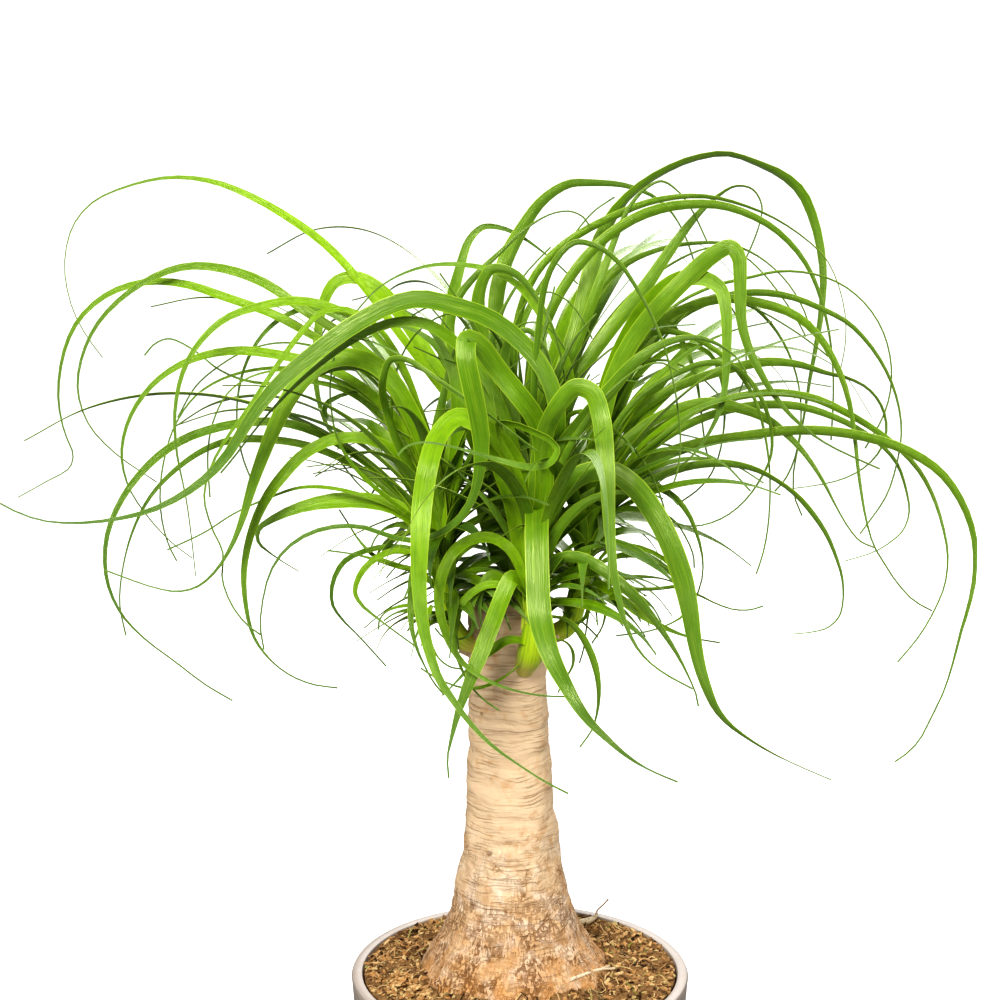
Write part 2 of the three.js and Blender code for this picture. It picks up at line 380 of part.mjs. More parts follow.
    [[3, 370], [-4, 415], [-2, 455], [6, 478], [17, 491], [30, 500], [44, 507], [58, 512.8], [74, 516],
      [90, 515.8], [105, 512], [119, 506.3], [133, 497.5], [144.5, 487], [151, 474], [154.5, 460],
      [155, 447], [153, 434]]],
  ['back', 5.9, [-36, -40, -45, -45, -45, -50], [30, 30, 30, 30, 25, 20, 20, 20],
    [[5, 375], [4, 420], [12, 456], [24, 479], [38, 495], [52, 505], [66, 510.5], [80, 512.5], [94, 512],
      [107, 508], [119, 501.5], [129.5, 492], [137.5, 480.5], [143, 467], [147, 452], [149.3, 436],
      [150, 420], [149.5, 400]]],
  ['back', 5, [-36, -38, -40, -55, -60], [20, 20, 15, 30, 30],
    [[5, 378], [18, 420], [30, 455], [38, 478], [44, 495], [51, 511], [58, 519.5], [66, 523.3],
      [74, 518.5], [80.5, 510], [88.5, 494]]],
  ['back', 4, [-36, -55, -70, -80, -80], [30, 30],
    [[4, 370], [12, 410], [24, 448], [36, 471], [50, 484.5], [66, 491.5], [82, 494.3], [98, 494],
      [110, 489.5], [120.5, 482], [129, 472.5], [135, 462], [138.5, 452]]],
  ['back', 2, [-36, -60, -75, -80], [30, 30],
    [[5, 372], [20, 420], [45, 462], [72, 485], [92, 492.5], [105, 488.5], [115, 480], [124, 469],
      [131, 459], [136, 450]]],
  ['back', 5.4, [-36, -42, -45, -48], [20, 15, 20, 30],
    [[2, 375], [-20, 415], [-34, 452], [-30, 468], [-22, 478.5], [-10, 490], [2, 501], [14, 508],
      [23, 509.3], [29, 506.8], [32, 503]]],
  ['back', 7.5, [-36, -55, -70, -76, -78], [20, 20, 20, 15, 20, 30],
    [[1, 372], [-22, 405], [-36, 435], [-34, 462], [-29, 483], [-24.5, 496], [-18, 502], [-9, 501.5],
      [0, 497.5], [10, 490.5], [20, 482], [27, 475]]],
  ['back', 4.5, [-36, -30, -28, -30, -35], [30, 30, 25, 30],
    [[5, 370], [16, 402], [24, 425], [20, 442], [11, 458], [0, 473], [-12, 480.8], [-26, 484],
      [-42, 484], [-56, 480], [-68, 473], [-78, 462.5], [-86, 452]]],
  ['back', 4.5, [-36, -50, -60, -70, -75], [30, 25, 25, 60, 60],
    [[1, 368], [-20, 400], [-42, 430], [-60, 454], [-76, 475.5], [-92, 493], [-108, 505], [-126, 515.5],
      [-145, 523], [-165, 525], [-185, 521], [-202, 513.5], [-212, 502], [-216.5, 484], [-214, 465],
      [-208, 451.5], [-200, 440]]],
  ['back', 7.5, [-36, -48, -55, -60, -55, -50], [20, 15, 15, 20, 25, 60],
    [[0, 365], [-18, 398], [-38, 430], [-54, 456], [-66, 471], [-78, 478], [-88, 476], [-94, 466],
      [-97, 450], [-98.5, 434], [-97.3, 421], [-94.8, 411], [-91, 404], [-83, 403], [-72, 406],
      [-60, 413], [-52, 421]]],
  ['back', 1.6, [-34, -30, -28, -28], [30, 30],
    [[3, 368], [-10, 402], [-19, 432], [-13, 446], [-4, 454], [6, 457], [15, 452.5], [21, 444]]],
  ['back', 2, [-34, -30, -28], [30, 30],
    [[4, 372], [-2, 415], [-4, 450], [4, 468], [13, 471.3], [21, 468], [28, 460.5], [34, 449]]],
  ['back', 4.5, [-36, -62, -80, -95], [15, 15],
    [[3, 372], [-4, 415], [-2, 448], [6, 468], [15, 483], [24, 497], [34, 509], [44, 516]]],
  ['back', 4.5, [-34, -32, -30], [30, 30],
    [[2, 372], [-10, 415], [-13, 448], [-6, 468], [3, 481], [14, 492.5]]],
  // Leaves that fill the crown's middle
  ['left', 8.7, [15, 20, 22], [15, 15],
    [[-38, 345], [-40, 375], [-50, 404], [-60, 429], [-67, 438], [-77, 442], [-86, 439]]],
  ['left', 7.4, [15, 14, 6], [15, 15],
    [[-37, 345], [-34, 375], [-30, 405], [-32, 430], [-38, 446], [-47, 457], [-59, 464], [-70, 464]]],
  ['front', 7, [35, 26, 24, 26, 32], [15, 20, 40],
    [[5, 345], [3, 375], [-4, 413], [-8, 434], [-5, 449], [3, 453], [11, 445], [16, 430], [18, 414]]],
  ['front', 4.9, [36, 44, 50], [15, 30],
    [[6, 350], [0, 378], [-9, 395], [-19, 405], [-29, 406], [-37, 400], [-42, 386], [-44, 370]]],
  ['front', 7.4, [36, 44, 50, 52], [15, 20, 30],
    [[8, 355], [15, 388], [29, 408], [42, 423], [56, 439], [72, 448], [87, 449], [103, 440], [112, 424]]],
  ['right', 7.8, [12, 8, 0], [15, 15],
    [[31, 350], [26, 378], [19, 405], [13, 430], [11, 450], [16, 474]]],
  ['back', 8, [-34, -26, -18, -12], [15, 20, 40],
    [[2, 370], [-10, 415], [-18, 448], [-20, 470], [-14, 482], [-3, 480], [7, 469], [16, 452], [22, 425]]],
  ['back', 10, [-33, -20, -12, -14], [15, 15, 30],
    [[0, 345], [-12, 378], [-23, 405], [-31, 430], [-43, 448], [-59, 455], [-74, 449]]],
  ['back', 10, [-33, -18, -8], [15, 10],
    [[1, 345], [-5, 375], [-12, 402], [-15, 428], [-12, 455], [-2, 474]]],
  ['back', 10, [-33, -18, -8, -12], [15, 10, 30],
    [[3, 345], [5, 375], [9, 402], [16, 428], [25, 448], [36, 461]]],
  ['back', 9, [-32, -14, -2, 4], [15, 10, 30],
    [[4, 342], [12, 368], [18, 392], [24, 415], [33, 432]]],
  ['back', 9, [-30, -12, 0, 4], [15, 15, 30],
    [[-3, 330], [-13, 352], [-20, 372], [-27, 389], [-35, 400]]],
  ['back', 9, [-30, -10, 2, 8], [15, 15, 30],
    [[3, 330], [8, 350], [11, 368], [13, 390]]],
  ['back', 8, [-28, -10, 4], [15, 10],
    [[-1, 325], [-8, 345], [-12, 365], [-14, 385], [-10, 405]]],
  ['front', 7.5, [36, 44, 46, 42, 38], [10, 15, 25, 35],
    [[5, 324], [0.5, 342], [-5, 370.5], [-10.5, 387.5], [-14, 405], [-16, 422], [-19, 439],
      [-23.5, 451], [-29, 459],
      [-36, 463.5], [-44, 464], [-52, 460]]],
  ['front', 5, [36, 44, 46, 46], [10, 20, 35],
    [[8, 322], [13.5, 344], [19, 357], [28, 367], [37.5, 372.5], [48, 374.5], [58, 372], [65, 367],
      [72, 358.5]]],
  ['front', 3.2, [36, 46, 50, 50], [20, 25, 30],
    [[8, 341], [13.2, 371], [22, 393.5], [32, 410.5], [40.5, 421], [48.5, 429], [57, 435], [67, 437.5],
      [76, 433]]],
  ['left', 5.6, [15, 12, 8], [15, 20],
    [[-37, 345], [-41, 372], [-41, 400], [-37, 422], [-33, 440], [-26, 455], [-17, 462]]],
];

// Leaves that the viewpoint doesn't show well, laid out by a seeded rule: shoot, count, range of
// compass directions in degrees (0 is +X, 90 is away from the viewer), ranges of length, of the
// climb at the foot and of the droop at the tip in degrees, and which of them are left out because
// another shoot's leaf is there
const FILL_SEED = 7;
const FILL_WIDTHS = [4.5, 8];
const FILLS = [
  ['back', 12, [48, 132], [190, 300], [48, 82], [15, 60], []],
  ['left', 5, [115, 165], [170, 250], [48, 82], [15, 60], [1]],
  ['right', 5, [15, 65], [170, 250], [48, 82], [15, 60], []],
  ['front', 4, [-118, -62], [150, 230], [48, 82], [15, 60], [1, 2]],
  ['back', 7, [190, 350], [70, 130], [74, 86], [-62, -20], []],
  ['left', 5, [-80, 40], [60, 120], [76, 88], [-62, -30], [0]],
  ['right', 5, [140, 250], [60, 120], [76, 88], [-62, -30], [0, 1]],
  ['front', 6, [10, 170], [50, 100], [76, 88], [-62, -30], [1, 2]],
  ['front', 5, [-60, 20], [60, 115], [64, 80], [-50, -15], [3]],
  ['left', 7, [120, 300], [100, 180], [58, 84], [-30, 30], [6]],
  ['right', 7, [-120, 60], [100, 180], [58, 84], [-30, 30], [0]],
  ['back', 6, [200, 340], [110, 170], [76, 88], [-50, 0], [1]],
  ['front', 4, [-10, 190], [60, 90], [66, 86], [-50, -10], []],
];

// Point on the line of sight through [across, height] in the trunk's plane, moved towards the viewer
function sightPoint(across, height, forward) {
  const inPlane = new THREE.Vector3(across, 0, height);
  return EYE.clone().lerp(inPlane, 1 - forward / -EYE.y);
}

// Value of an evenly spaced list at a share of its length, eased between entries
function along(list, share) {
  const place = share * (list.length - 1);
  const index = Math.min(Math.floor(place), list.length - 2);
  const part = place - index;
  const ease = part * part * (3 - 2 * part);
  return list[index] + (list[index + 1] - list[index]) * ease;
}

// Repeatable numbers from 0 to 1
function makeRandom(seed) {
  let state = seed;
  return () => {
    state = (Math.imul(state, 1664525) + 1013904223) >>> 0;
    return state / 4294967296;
  };
}

function solid(positions, triangles) {
  const mesh = new wasm.Mesh({
    numProp: 3,
    vertProperties: new Float32Array(positions.flat()),
    triVerts: new Uint32Array(triangles.flat()),
  });
  return new wasm.Manifold(mesh);
}

function solidFromGeometry(geometry) {
  geometry.deleteAttribute('normal');
  geometry.deleteAttribute('uv');
  const merged = mergeVertices(geometry, 1e-4);
  const mesh = new wasm.Mesh({
    numProp: 3,
    vertProperties: merged.attributes.position.array,
    triVerts: new Uint32Array(merged.index.array),
  });
  return new wasm.Manifold(mesh);
}

function geometryFromSolid(body) {
  const mesh = body.getMesh();
  const geometry = new THREE.BufferGeometry();
  geometry.setAttribute('position', new THREE.BufferAttribute(mesh.vertProperties, 3));
  geometry.setIndex(new THREE.BufferAttribute(mesh.triVerts, 1));
  geometry.computeVertexNormals();
  return geometry;
}

// Closed solid through rings of equal point count; both ends are closed by a fan on a middle point
function ringSolid(rings) {
  const sides = rings[0].length;
  const positions = rings.flat();
  const triangles = [];
  for (let r = 0; r + 1 < rings.length; r += 1) {
    for (let s = 0; s < sides; s += 1) {
      const a = r * sides + s;
      const b = r * sides + ((s + 1) % sides);
      triangles.push([a, b, b + sides], [a, b + sides, a + sides]);
    }
  }
  const middle = (ring) => [0, 1, 2].map((k) => ring.reduce((sum, p) => sum + p[k], 0) / sides);
  const first = positions.push(middle(rings[0])) - 1;
  const last = positions.push(middle(rings[rings.length - 1])) - 1;
  const top = (rings.length - 1) * sides;
  for (let s = 0; s < sides; s += 1) {
    const next = (s + 1) % sides;
    triangles.push([first, next, s], [last, top + s, top + next]);
  }
  return solid(positions, triangles);
}

function makePot() {
  const bandFoot = POT_HEIGHT - POT_RIM_BAND;
  const wallTop = POT_RIM_RADIUS - POT_BAND_STEP;
  const profile = [
    [0, 0], [POT_FOOT_RADIUS - 2, 0], [POT_FOOT_RADIUS, 2], [wallTop, bandFoot - 3],
    [POT_RIM_RADIUS - 1.2, bandFoot], [POT_RIM_RADIUS, POT_HEIGHT - 2],
    [POT_RIM_RADIUS - 1.4, POT_HEIGHT], [POT_RIM_INNER_RADIUS + 1, POT_HEIGHT],
    [POT_RIM_INNER_RADIUS, POT_HEIGHT - 1.2], [wallTop - POT_WALL, bandFoot - POT_SHOULDER_DROP],
    [POT_FOOT_RADIUS - POT_WALL, POT_FLOOR], [0, POT_FLOOR],
  ];
  const points = profile.map(([radius, height]) => new THREE.Vector2(radius, height));
  const lathe = new THREE.LatheGeometry(points, POT_SIDES);
  lathe.rotateX(Math.PI / 2);
  return solidFromGeometry(lathe);
}

// Radius and axis shift of the trunk at a height
function trunkAt(height) {
  const rows = TRUNK_PROFILE;
  let index = 0;
  while (index < rows.length - 2 && rows[index + 1][0] < height) {
    index += 1;
  }
  const [low, high] = [rows[index], rows[index + 1]];
  const share = THREE.MathUtils.clamp((height - low[0]) / (high[0] - low[0]), 0, 1);
  return [low[1] + (high[1] - low[1]) * share, low[2] + (high[2] - low[2]) * share];
}

// Trunk with ring scars and slow lobes; `grow` is an even offset outwards
function makeTrunk(grow) {
  const bottom = TRUNK_PROFILE[0][0] - grow;
  const top = TRUNK_PROFILE[TRUNK_PROFILE.length - 1][0] + grow;
  const count = Math.round((top - bottom) / TRUNK_RING_STEP);
  const rings = [];
  for (let r = 0; r <= count; r += 1) {
    const height = bottom + ((top - bottom) * r) / count;
    const [radius, shift] = trunkAt(height);
    const scar = TRUNK_SCAR_DEPTH * Math.cos(r * Math.PI);
    const ring = [];
    for (let s = 0; s < TRUNK_SIDES; s += 1) {
      const angle = (s / TRUNK_SIDES) * 2 * Math.PI;
      const lobe = 1 + 0.018 * Math.sin(3 * angle + height * 0.02) + 0.01 * Math.sin(7 * angle - height * 0.05);
      const reach = radius * lobe + scar * Math.sin(angle * 2 + r * 1.7) + grow;
      ring.push([shift + reach * Math.cos(angle), reach * Math.sin(angle), height]);
    }
    rings.push(ring);
  }
  const stubs = TRUNK_STUBS.map(([foot, end, radius]) => makeStalk(vectors([foot, end]), radius + grow));
  return wasm.Manifold.union([ringSolid(rings), ...stubs]);
}

// Height of the soil's lumpy surface, mounded up towards the trunk
function soilHeight(x, y) {
  const reach = Math.hypot(x, y);
  const mound = SOIL_MOUND * Math.max(0, 1 - Math.pow(reach / POT_RIM_INNER_RADIUS, 2));
  const lumps = Math.sin(x * 0.31 + 1.3) * Math.cos(y * 0.27 - 0.4) + 0.7 * Math.sin(x * 0.13 - y * 0.45);
  return SOIL_EDGE_HEIGHT + mound + SOIL_LUMP * lumps * Math.min(1, (1 - reach / 82) * 5);
}

// Soil under a surface that can be lifted, with a hole for the trunk
function makeSoil(lift, trunkHole) {
  const bandFoot = POT_HEIGHT - POT_RIM_BAND - POT_SHOULDER_DROP;
  const footRadius = POT_FOOT_RADIUS - POT_WALL - FIT_GAP;
  const shoulderRadius = POT_RIM_RADIUS - POT_BAND_STEP - POT_WALL - FIT_GAP;
  const edgeRadius = POT_RIM_INNER_RADIUS - FIT_GAP - 0.4;
  const circle = (radius, heightAt) => {
    const ring = [];
    for (let s = 0; s < SOIL_SECTORS; s += 1) {
      const angle = (s / SOIL_SECTORS) * 2 * Math.PI;
      const [x, y] = [radius * Math.cos(angle), radius * Math.sin(angle)];
      ring.push([x, y, heightAt(x, y)]);
    }
    return ring;
  };
  const rings = [
    circle(footRadius, () => POT_FLOOR + FIT_GAP),
    circle(shoulderRadius, () => bandFoot),
  ];
  for (const share of [1, ...[...SOIL_RINGS].reverse()]) {
    rings.push(circle(edgeRadius * share, (x, y) => soilHeight(x, y) + lift));
  }
  return ringSolid(rings).subtract(trunkHole);
}

// Width of a blade at a share of its length
function bladeWidth(width, share) {
  const opening = Math.min(1, share / BLADE_OPENING_SHARE);
  const base = BLADE_BASE_SHARE + (1 - BLADE_BASE_SHARE) * opening * (2 - opening);
  const past = Math.max(0, (share - BLADE_TAPER_FROM) / (1 - BLADE_TAPER_FROM));
  return Math.max(BLADE_MIN_WIDTH, width * base * Math.pow(1 - past, BLADE_TAPER_POWER));
}

// Samples of a route: place, heading, share of its length, spaced closer where it bends
function sampleRoute(points, spacing, bendCost) {
  const curve = new THREE.CatmullRomCurve3(points, false, 'centripetal');
  const fine = (points.length - 1) * 12;
  const dots = curve.getPoints(fine);
  const lengths = [0];
  const costs = [0];
  for (let i = 1; i <= fine; i += 1) {
    const step = dots[i].clone().sub(dots[i - 1]);
    const before = i > 1 ? dots[i - 1].clone().sub(dots[i - 2]) : step;
    lengths.push(lengths[i - 1] + step.length());
    costs.push(costs[i - 1] + step.length() + bendCost * before.angleTo(step));
  }
  const count = Math.max(3, Math.round(costs[fine] / spacing));
  const samples = [];
  let i = 1;
  for (let n = 0; n <= count; n += 1) {
    const target = (costs[fine] * n) / count;
    while (i < fine && costs[i] < target) {
      i += 1;
    }
    const part = THREE.MathUtils.clamp((target - costs[i - 1]) / (costs[i] - costs[i - 1]), 0, 1);
    const place = dots[i - 1].clone().lerp(dots[i], part);
    const length = lengths[i - 1] + (lengths[i] - lengths[i - 1]) * part;
    const ahead = dots[Math.min(fine, i + 1)];
    const behind = dots[Math.max(0, i - 2)];
    samples.push({ place, heading: ahead.clone().sub(behind).normalize(), share: length / lengths[fine] });
  }
  return samples;
}

// Sideways direction of the blade at each sample: face-on to the viewer (or level, for a leaf of the
// seeded rule) and turned from there about the heading
function bladeSides(samples, turns, level) {
  const sides = samples.map(({ place, heading, share }) => {
    const look = level ? new THREE.Vector3(0, 0, 1) : EYE.clone().sub(place).normalize();
    const flat = heading.clone().cross(look);
    const sure = flat.length() > BLADE_SURE_TURN;
    const turn = THREE.MathUtils.degToRad(along(turns, share));
    const side = flat.normalize().applyAxisAngle(heading, turn);
    return { side, sure };
  });
  let last = sides.findIndex((entry) => entry.sure);
  for (let n = 0; n < sides.length; n += 1) {
    if (sides[n].sure) {
      if (sides[n].side.dot(sides[last].side) < 0) {
        sides[n].side.negate();
      }
      last = n;
    } else {
      const next = sides.findIndex((entry, index) => index > n && entry.sure);
      const from = sides[last].side;
      const to = next < 0 ? from : sides[next].side.clone();
      if (to.dot(from) < 0) {
        to.negate();
      }
      const part = next < 0 || last > n ? 0 : (n - last) / (next - last);
      sides[n].side = from.clone().lerp(to, part);
    }
    const { heading } = samples[n];
    sides[n].side.addScaledVector(heading, -sides[n].side.dot(heading)).normalize();
  }
  return sides.map((entry) => entry.side);
}

// Keeled blade: two edges and a keel below, swept along the samples
function bladeSolid(samples, sides, width) {
  const rings = samples.map(({ place, heading, share }, n) => {
    const wide = bladeWidth(width, share);
    const depth = THREE.MathUtils.clamp(wide * BLADE_DEPTH_SHARE, BLADE_DEPTH[0], BLADE_DEPTH[1]);
    const below = heading.clone().cross(sides[n]);
    const edge = (reach, drop) => place.clone().addScaledVector(sides[n], reach).addScaledVector(below, drop);
    return [edge(wide / 2, depth / 3), edge(-wide / 2, depth / 3), edge(0, (-depth * 2) / 3)];
  });
  const positions = rings.flat().map((p) => p.toArray());
  const triangles = [[0, 2, 1]];
  for (let n = 0; n + 1 < rings.length; n += 1) {
    for (let s = 0; s < 3; s += 1) {
      const a = n * 3 + s;
      const b = n * 3 + ((s + 1) % 3);
      triangles.push([a, b, b + 3], [a, b + 3, a + 3]);
    }
  }
  const end = (rings.length - 1) * 3;
  triangles.push([end, end + 1, end + 2]);
  return solid(positions, triangles);
}

function tracedRoute([, , forward, , path]) {
  const flat = path.map(([across, height]) => new THREE.Vector3(across, 0, height));
  const reach = [0];
  for (let n = 1; n < flat.length; n += 1) {
    reach.push(reach[n - 1] + flat[n].distanceTo(flat[n - 1]));
  }
  return path.map(([across, height], n) => {
    return sightPoint(across, height, along(forward, reach[n] / reach[reach.length - 1]));
  });
}

// A leaf of the seeded rule: rises from its shoot, arches over and droops
function filledRoute(start, compass, climb, length, droop, swing) {
  const points = [start.clone()];
  const steps = 7;
  for (let n = 0; n < steps; n += 1) {
    const share = (n + 0.5) / steps;
    const slope = THREE.MathUtils.degToRad(climb - (climb + droop) * Math.pow(share, 1.25));
    const heading = THREE.MathUtils.degToRad(compass + swing * share);
    const level = Math.cos(slope);
    const step = new THREE.Vector3(level * Math.cos(heading), level * Math.sin(heading), Math.sin(slope));
    points.push(points[n].clone().addScaledVector(step, length / steps));
  }
  return points;
}

function shootAxis(name) {
  return SHOOTS[name].map(([across, height, forward]) => sightPoint(across, height, forward));
}

// Every leaf as { shoot, width, points, turns, level }
function listLeaves() {
  const leaves = LEAVES.map((row) => {
    return { shoot: row[0], width: row[1], points: tracedRoute(row), turns: row[3], level: false };
  });
  const random = makeRandom(FILL_SEED);
  for (const [shoot, count, compass, lengths, climbs, droops, leftOut] of FILLS) {
    const axis = shootAxis(shoot);
    for (let n = 0; n < count; n += 1) {
      const draws = Array.from({ length: 7 }, random);
      const between = (range, k) => range[0] + (range[1] - range[0]) * draws[k];
      const start = axis[3].clone().lerp(axis[4], draws[0] * 0.6);
      const heading = compass[0] + ((compass[1] - compass[0]) * (n + draws[1])) / count;
      const points = filledRoute(start, heading, between(climbs, 2), between(lengths, 3),
        between(droops, 4), between([-22, 22], 5));
      if (!leftOut.includes(n)) {
        leaves.push({ shoot, width: between(FILL_WIDTHS, 6), points, turns: [10, 20, 40], level: true });
      }
    }
  }
  return leaves;
}

// Pale pseudostem that a shoot's leaves leave
function makeCore(name) {
  const axis = shootAxis(name);
  const samples = sampleRoute(axis, 9, 6);
  const sides = bladeSides(samples, [90, 90], true);
  const radii = SHOOTS[name].map((row) => row[3]);
  const rings = samples.map(({ place, heading, share }, n) => {
    const radius = along(radii, share);
    const other = heading.clone().cross(sides[n]);
    const ring = [];
    for (let s = 0; s < CORE_SIDES; s += 1) {
      const angle = (s / CORE_SIDES) * 2 * Math.PI;
      const point = place.clone().addScaledVector(sides[n], radius * Math.cos(angle));
      ring.push(point.addScaledVector(other, radius * Math.sin(angle)).toArray());
    }
    return ring;
  });
  return ringSolid(rings);
}

function makeShoot(name, leaves, trunkHole) {
  const own = leaves.filter((leaf) => leaf.shoot === name);
  const blades = own.map(({ points, turns, width, level }) => {
    const samples = sampleRoute(points, BLADE_STEP, BLADE_BEND_COST);
    return bladeSolid(samples, bladeSides(samples, turns, level), width);
  });
  const joined = wasm.Manifold.union([makeCore(name), ...blades]);
  return largestPiece(joined.subtract(trunkHole));
}

// A dry stalk through a few points, round and a little thinner at its tip
function makeStalk(points, radius) {
  const samples = sampleRoute(points, 7, 6);
  const sides = bladeSides(samples, [0, 0], true);
  const rings = samples.map(({ place, heading, share }, n) => {
    const other = heading.clone().cross(sides[n]);
    const reach = radius * (1 - 0.35 * share);
    return Array.from({ length: STALK_SIDES }, (_, s) => {
      const angle = (s / STALK_SIDES) * 2 * Math.PI;
      const point = place.clone().addScaledVector(sides[n], reach * Math.cos(angle));
      return point.addScaledVector(other, reach * Math.sin(angle)).toArray();
    });
  });
  return ringSolid(rings);
}

// Stalks fused into one bit that rests on the soil and against the trunk
function makeDryBit(routes, radius, trunkHole) {
  const stalks = routes.map((rows) => makeStalk(rows.map((row) => sightPoint(...row)), radius));
  const bit = wasm.Manifold.union(stalks).subtract(trunkHole).subtract(makeSoil(FIT_GAP, trunkHole));
  return largestPiece(bit);
}

function largestPiece(body) {
  const pieces = body.decompose();
  pieces.sort((a, b) => b.volume() - a.volume());
  return pieces[0];
}

function vectors(rows) {
  return rows.map(([x, y, z]) => new THREE.Vector3(x, y, z));
}

function addMesh(group, name, body, colour, roughness) {
  const material = new THREE.MeshStandardMaterial({ color: colour, roughness, metalness: 0 });
  const mesh = new THREE.Mesh(geometryFromSolid(body), material);
  mesh.name = name;
  group.add(mesh);
}

const group = new THREE.Group();
const trunkHole = makeTrunk(FIT_GAP);
const leaves = listLeaves();
addMesh(group, 'pot', makePot(), COLOURS.pot, 0.55);
addMesh(group, 'soil', makeSoil(0, trunkHole), COLOURS.soil, 0.95);
addMesh(group, 'trunk', makeTrunk(0), COLOURS.trunk, 0.85);
for (const name of Object.keys(SHOOTS)) {
  addMesh(group, `shoot_${name}`, makeShoot(name, leaves, trunkHole), COLOURS.leaf, 0.45);
}
addMesh(group, 'straw', makeDryBit(STRAW, STRAW_RADIUS, trunkHole), COLOURS.straw, 0.8);
addMesh(group, 'twig', makeDryBit(TWIG, TWIG_RADIUS, trunkHole), COLOURS.straw, 0.8);

export default group;
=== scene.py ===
"""A potted ponytail palm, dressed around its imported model.

The leaves follow the same routes as the solids: each route is a list of points read from one
viewpoint in the trunk's own plane, with a distance towards that viewpoint. A straight blade is
modelled once, and each leaf is a copy of it that is bent along its route.
"""

import logging
import math
from collections.abc import Callable
from dataclasses import dataclass, field
from enum import Enum

import bpy
import numpy as np
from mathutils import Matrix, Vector, noise

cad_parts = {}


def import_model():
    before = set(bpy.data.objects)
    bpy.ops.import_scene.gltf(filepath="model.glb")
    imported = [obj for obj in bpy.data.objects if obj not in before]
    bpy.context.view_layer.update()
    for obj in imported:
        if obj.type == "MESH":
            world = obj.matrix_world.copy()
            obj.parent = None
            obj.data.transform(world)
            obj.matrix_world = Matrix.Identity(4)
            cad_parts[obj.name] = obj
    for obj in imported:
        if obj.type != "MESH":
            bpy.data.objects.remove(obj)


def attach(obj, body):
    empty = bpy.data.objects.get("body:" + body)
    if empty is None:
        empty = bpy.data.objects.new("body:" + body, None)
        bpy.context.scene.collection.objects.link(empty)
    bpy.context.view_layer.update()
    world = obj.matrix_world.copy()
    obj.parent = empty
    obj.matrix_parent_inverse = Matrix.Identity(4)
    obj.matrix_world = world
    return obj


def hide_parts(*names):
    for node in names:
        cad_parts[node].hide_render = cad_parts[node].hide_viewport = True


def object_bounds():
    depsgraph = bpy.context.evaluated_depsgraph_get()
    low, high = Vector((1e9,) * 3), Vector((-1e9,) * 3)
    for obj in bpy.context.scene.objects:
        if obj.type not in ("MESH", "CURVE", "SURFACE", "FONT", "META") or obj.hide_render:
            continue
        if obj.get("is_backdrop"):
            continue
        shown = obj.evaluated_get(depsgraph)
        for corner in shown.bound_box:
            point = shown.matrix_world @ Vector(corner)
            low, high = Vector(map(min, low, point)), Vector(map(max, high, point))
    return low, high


LOG = logging.getLogger("ponytail_palm")
MM = 0.001
BOX_MARGIN = 0.02

Colour = tuple[float, float, float, float]
Span = tuple[float, ...]
Route = list[list[float]]

# Rule of the repeatable numbers, the same as that of the solids
DRAW_FACTOR = 1664525
DRAW_STEP = 1013904223
DRAW_RANGE = 4294967296
TONE_SEED = 41
CRUMB_SEED = 11
FIBRE_SEED = 23

# Viewpoint that the leaf routes are read from, in millimetres, and the camera that stands there
EYE = np.array([-10.0, -953.0, 547.0])
CAMERA_PITCH = 10.48
CAMERA_LENS = 72.0
CAMERA_SENSOR = 36.0

# Pot
POT_HEIGHT = 130.0
POT_RIM_RADIUS = 85.0
POT_RIM_BAND = 15.0
POT_BAND_STEP = 3.4
POT_RIM_INNER_RADIUS = 79.3
POT_WALL = 2.4
POT_FOOT_RADIUS = 59.0
POT_FLOOR = 3.0

# Soil
FIT_GAP = 0.3
SOIL_EDGE_HEIGHT = 125.4
SOIL_MOUND = 7.0
SOIL_LUMP = 1.5
SOIL_LUMPS_END = 82.0

# Trunk: height, radius and sideways shift of its axis
TRUNK_PROFILE = [
    [86, 30, -3.2], [92, 41, -3.2], [102, 48.5, -3.2], [116, 50, -3.2], [126, 48.6, -3.2], [133, 46.4, -3.3],
    [140, 41.8, -3.7], [150, 35.8, -3.8], [160, 31.6, -3.6], [170, 28.9, -4], [180, 26.6, -4.5],
    [193, 24.2, -4], [208, 22.7, -4.4], [224, 21.5, -5], [245, 20.2, -5.2], [270, 19.3, -5.6],
    [290, 19.1, -6.2], [310, 19.3, -6.4], [322, 19.4, -6.5], [326, 18.2, -6.5],
]
TRUNK_SHIFT_AT_SOIL = TRUNK_PROFILE[4][2]

# Cut stubs on the trunk: foot, end, radius
TRUNK_STUBS = [
    ([-18, 1, 292], [-29.5, -1, 297], 3.4),
    ([8, -8, 301], [19, -13, 305.5], 3.0),
]

# Dry bits on the soil, as routes of [sideways, height, towards the viewer]
STRAW = [
    [[26, 123.5, 34], [33, 126.2, 26], [40, 128.9, 14], [47, 131.2, 3]],
    [[37, 127.8, 20], [42, 129, 13], [48, 129.4, 9]],
]
TWIG = [
    [[28, 153.2, -58], [38, 157, -60], [39, 160.5, -61], [42, 163.5, -62], [44.5, 166.5, -62]],
]

# Darkest and lightest tone of each shoot's traced leaves, by shoot partly painted light and shade
SHOOT_LIGHT_AND_SHADE_TONES = {"left": (0.0, 0.65), "front": (0.0, 0.40), "right": (0.05, 0.85), "back": (0.35, 1.0)}

# Blades
BLADE_MIN_WIDTH = 0.9
BLADE_BASE_SHARE = 0.72
BLADE_TAPER_FROM = 0.48
BLADE_TAPER_POWER = 1.3
BLADE_OPENING_SHARE = 0.14
BLADE_BEND_COST = 17.0
BLADE_SURE_TURN = 0.42
BLADE_STRIPS = 4
BLADE_EDGE_THINNING = 0.6
BLADE_CHANNEL_POWER = 1.25
BLADE_CHANNEL_DROP = 0.45
BLADE_MAP = "blade_map"
CURVE_DOTS = 12

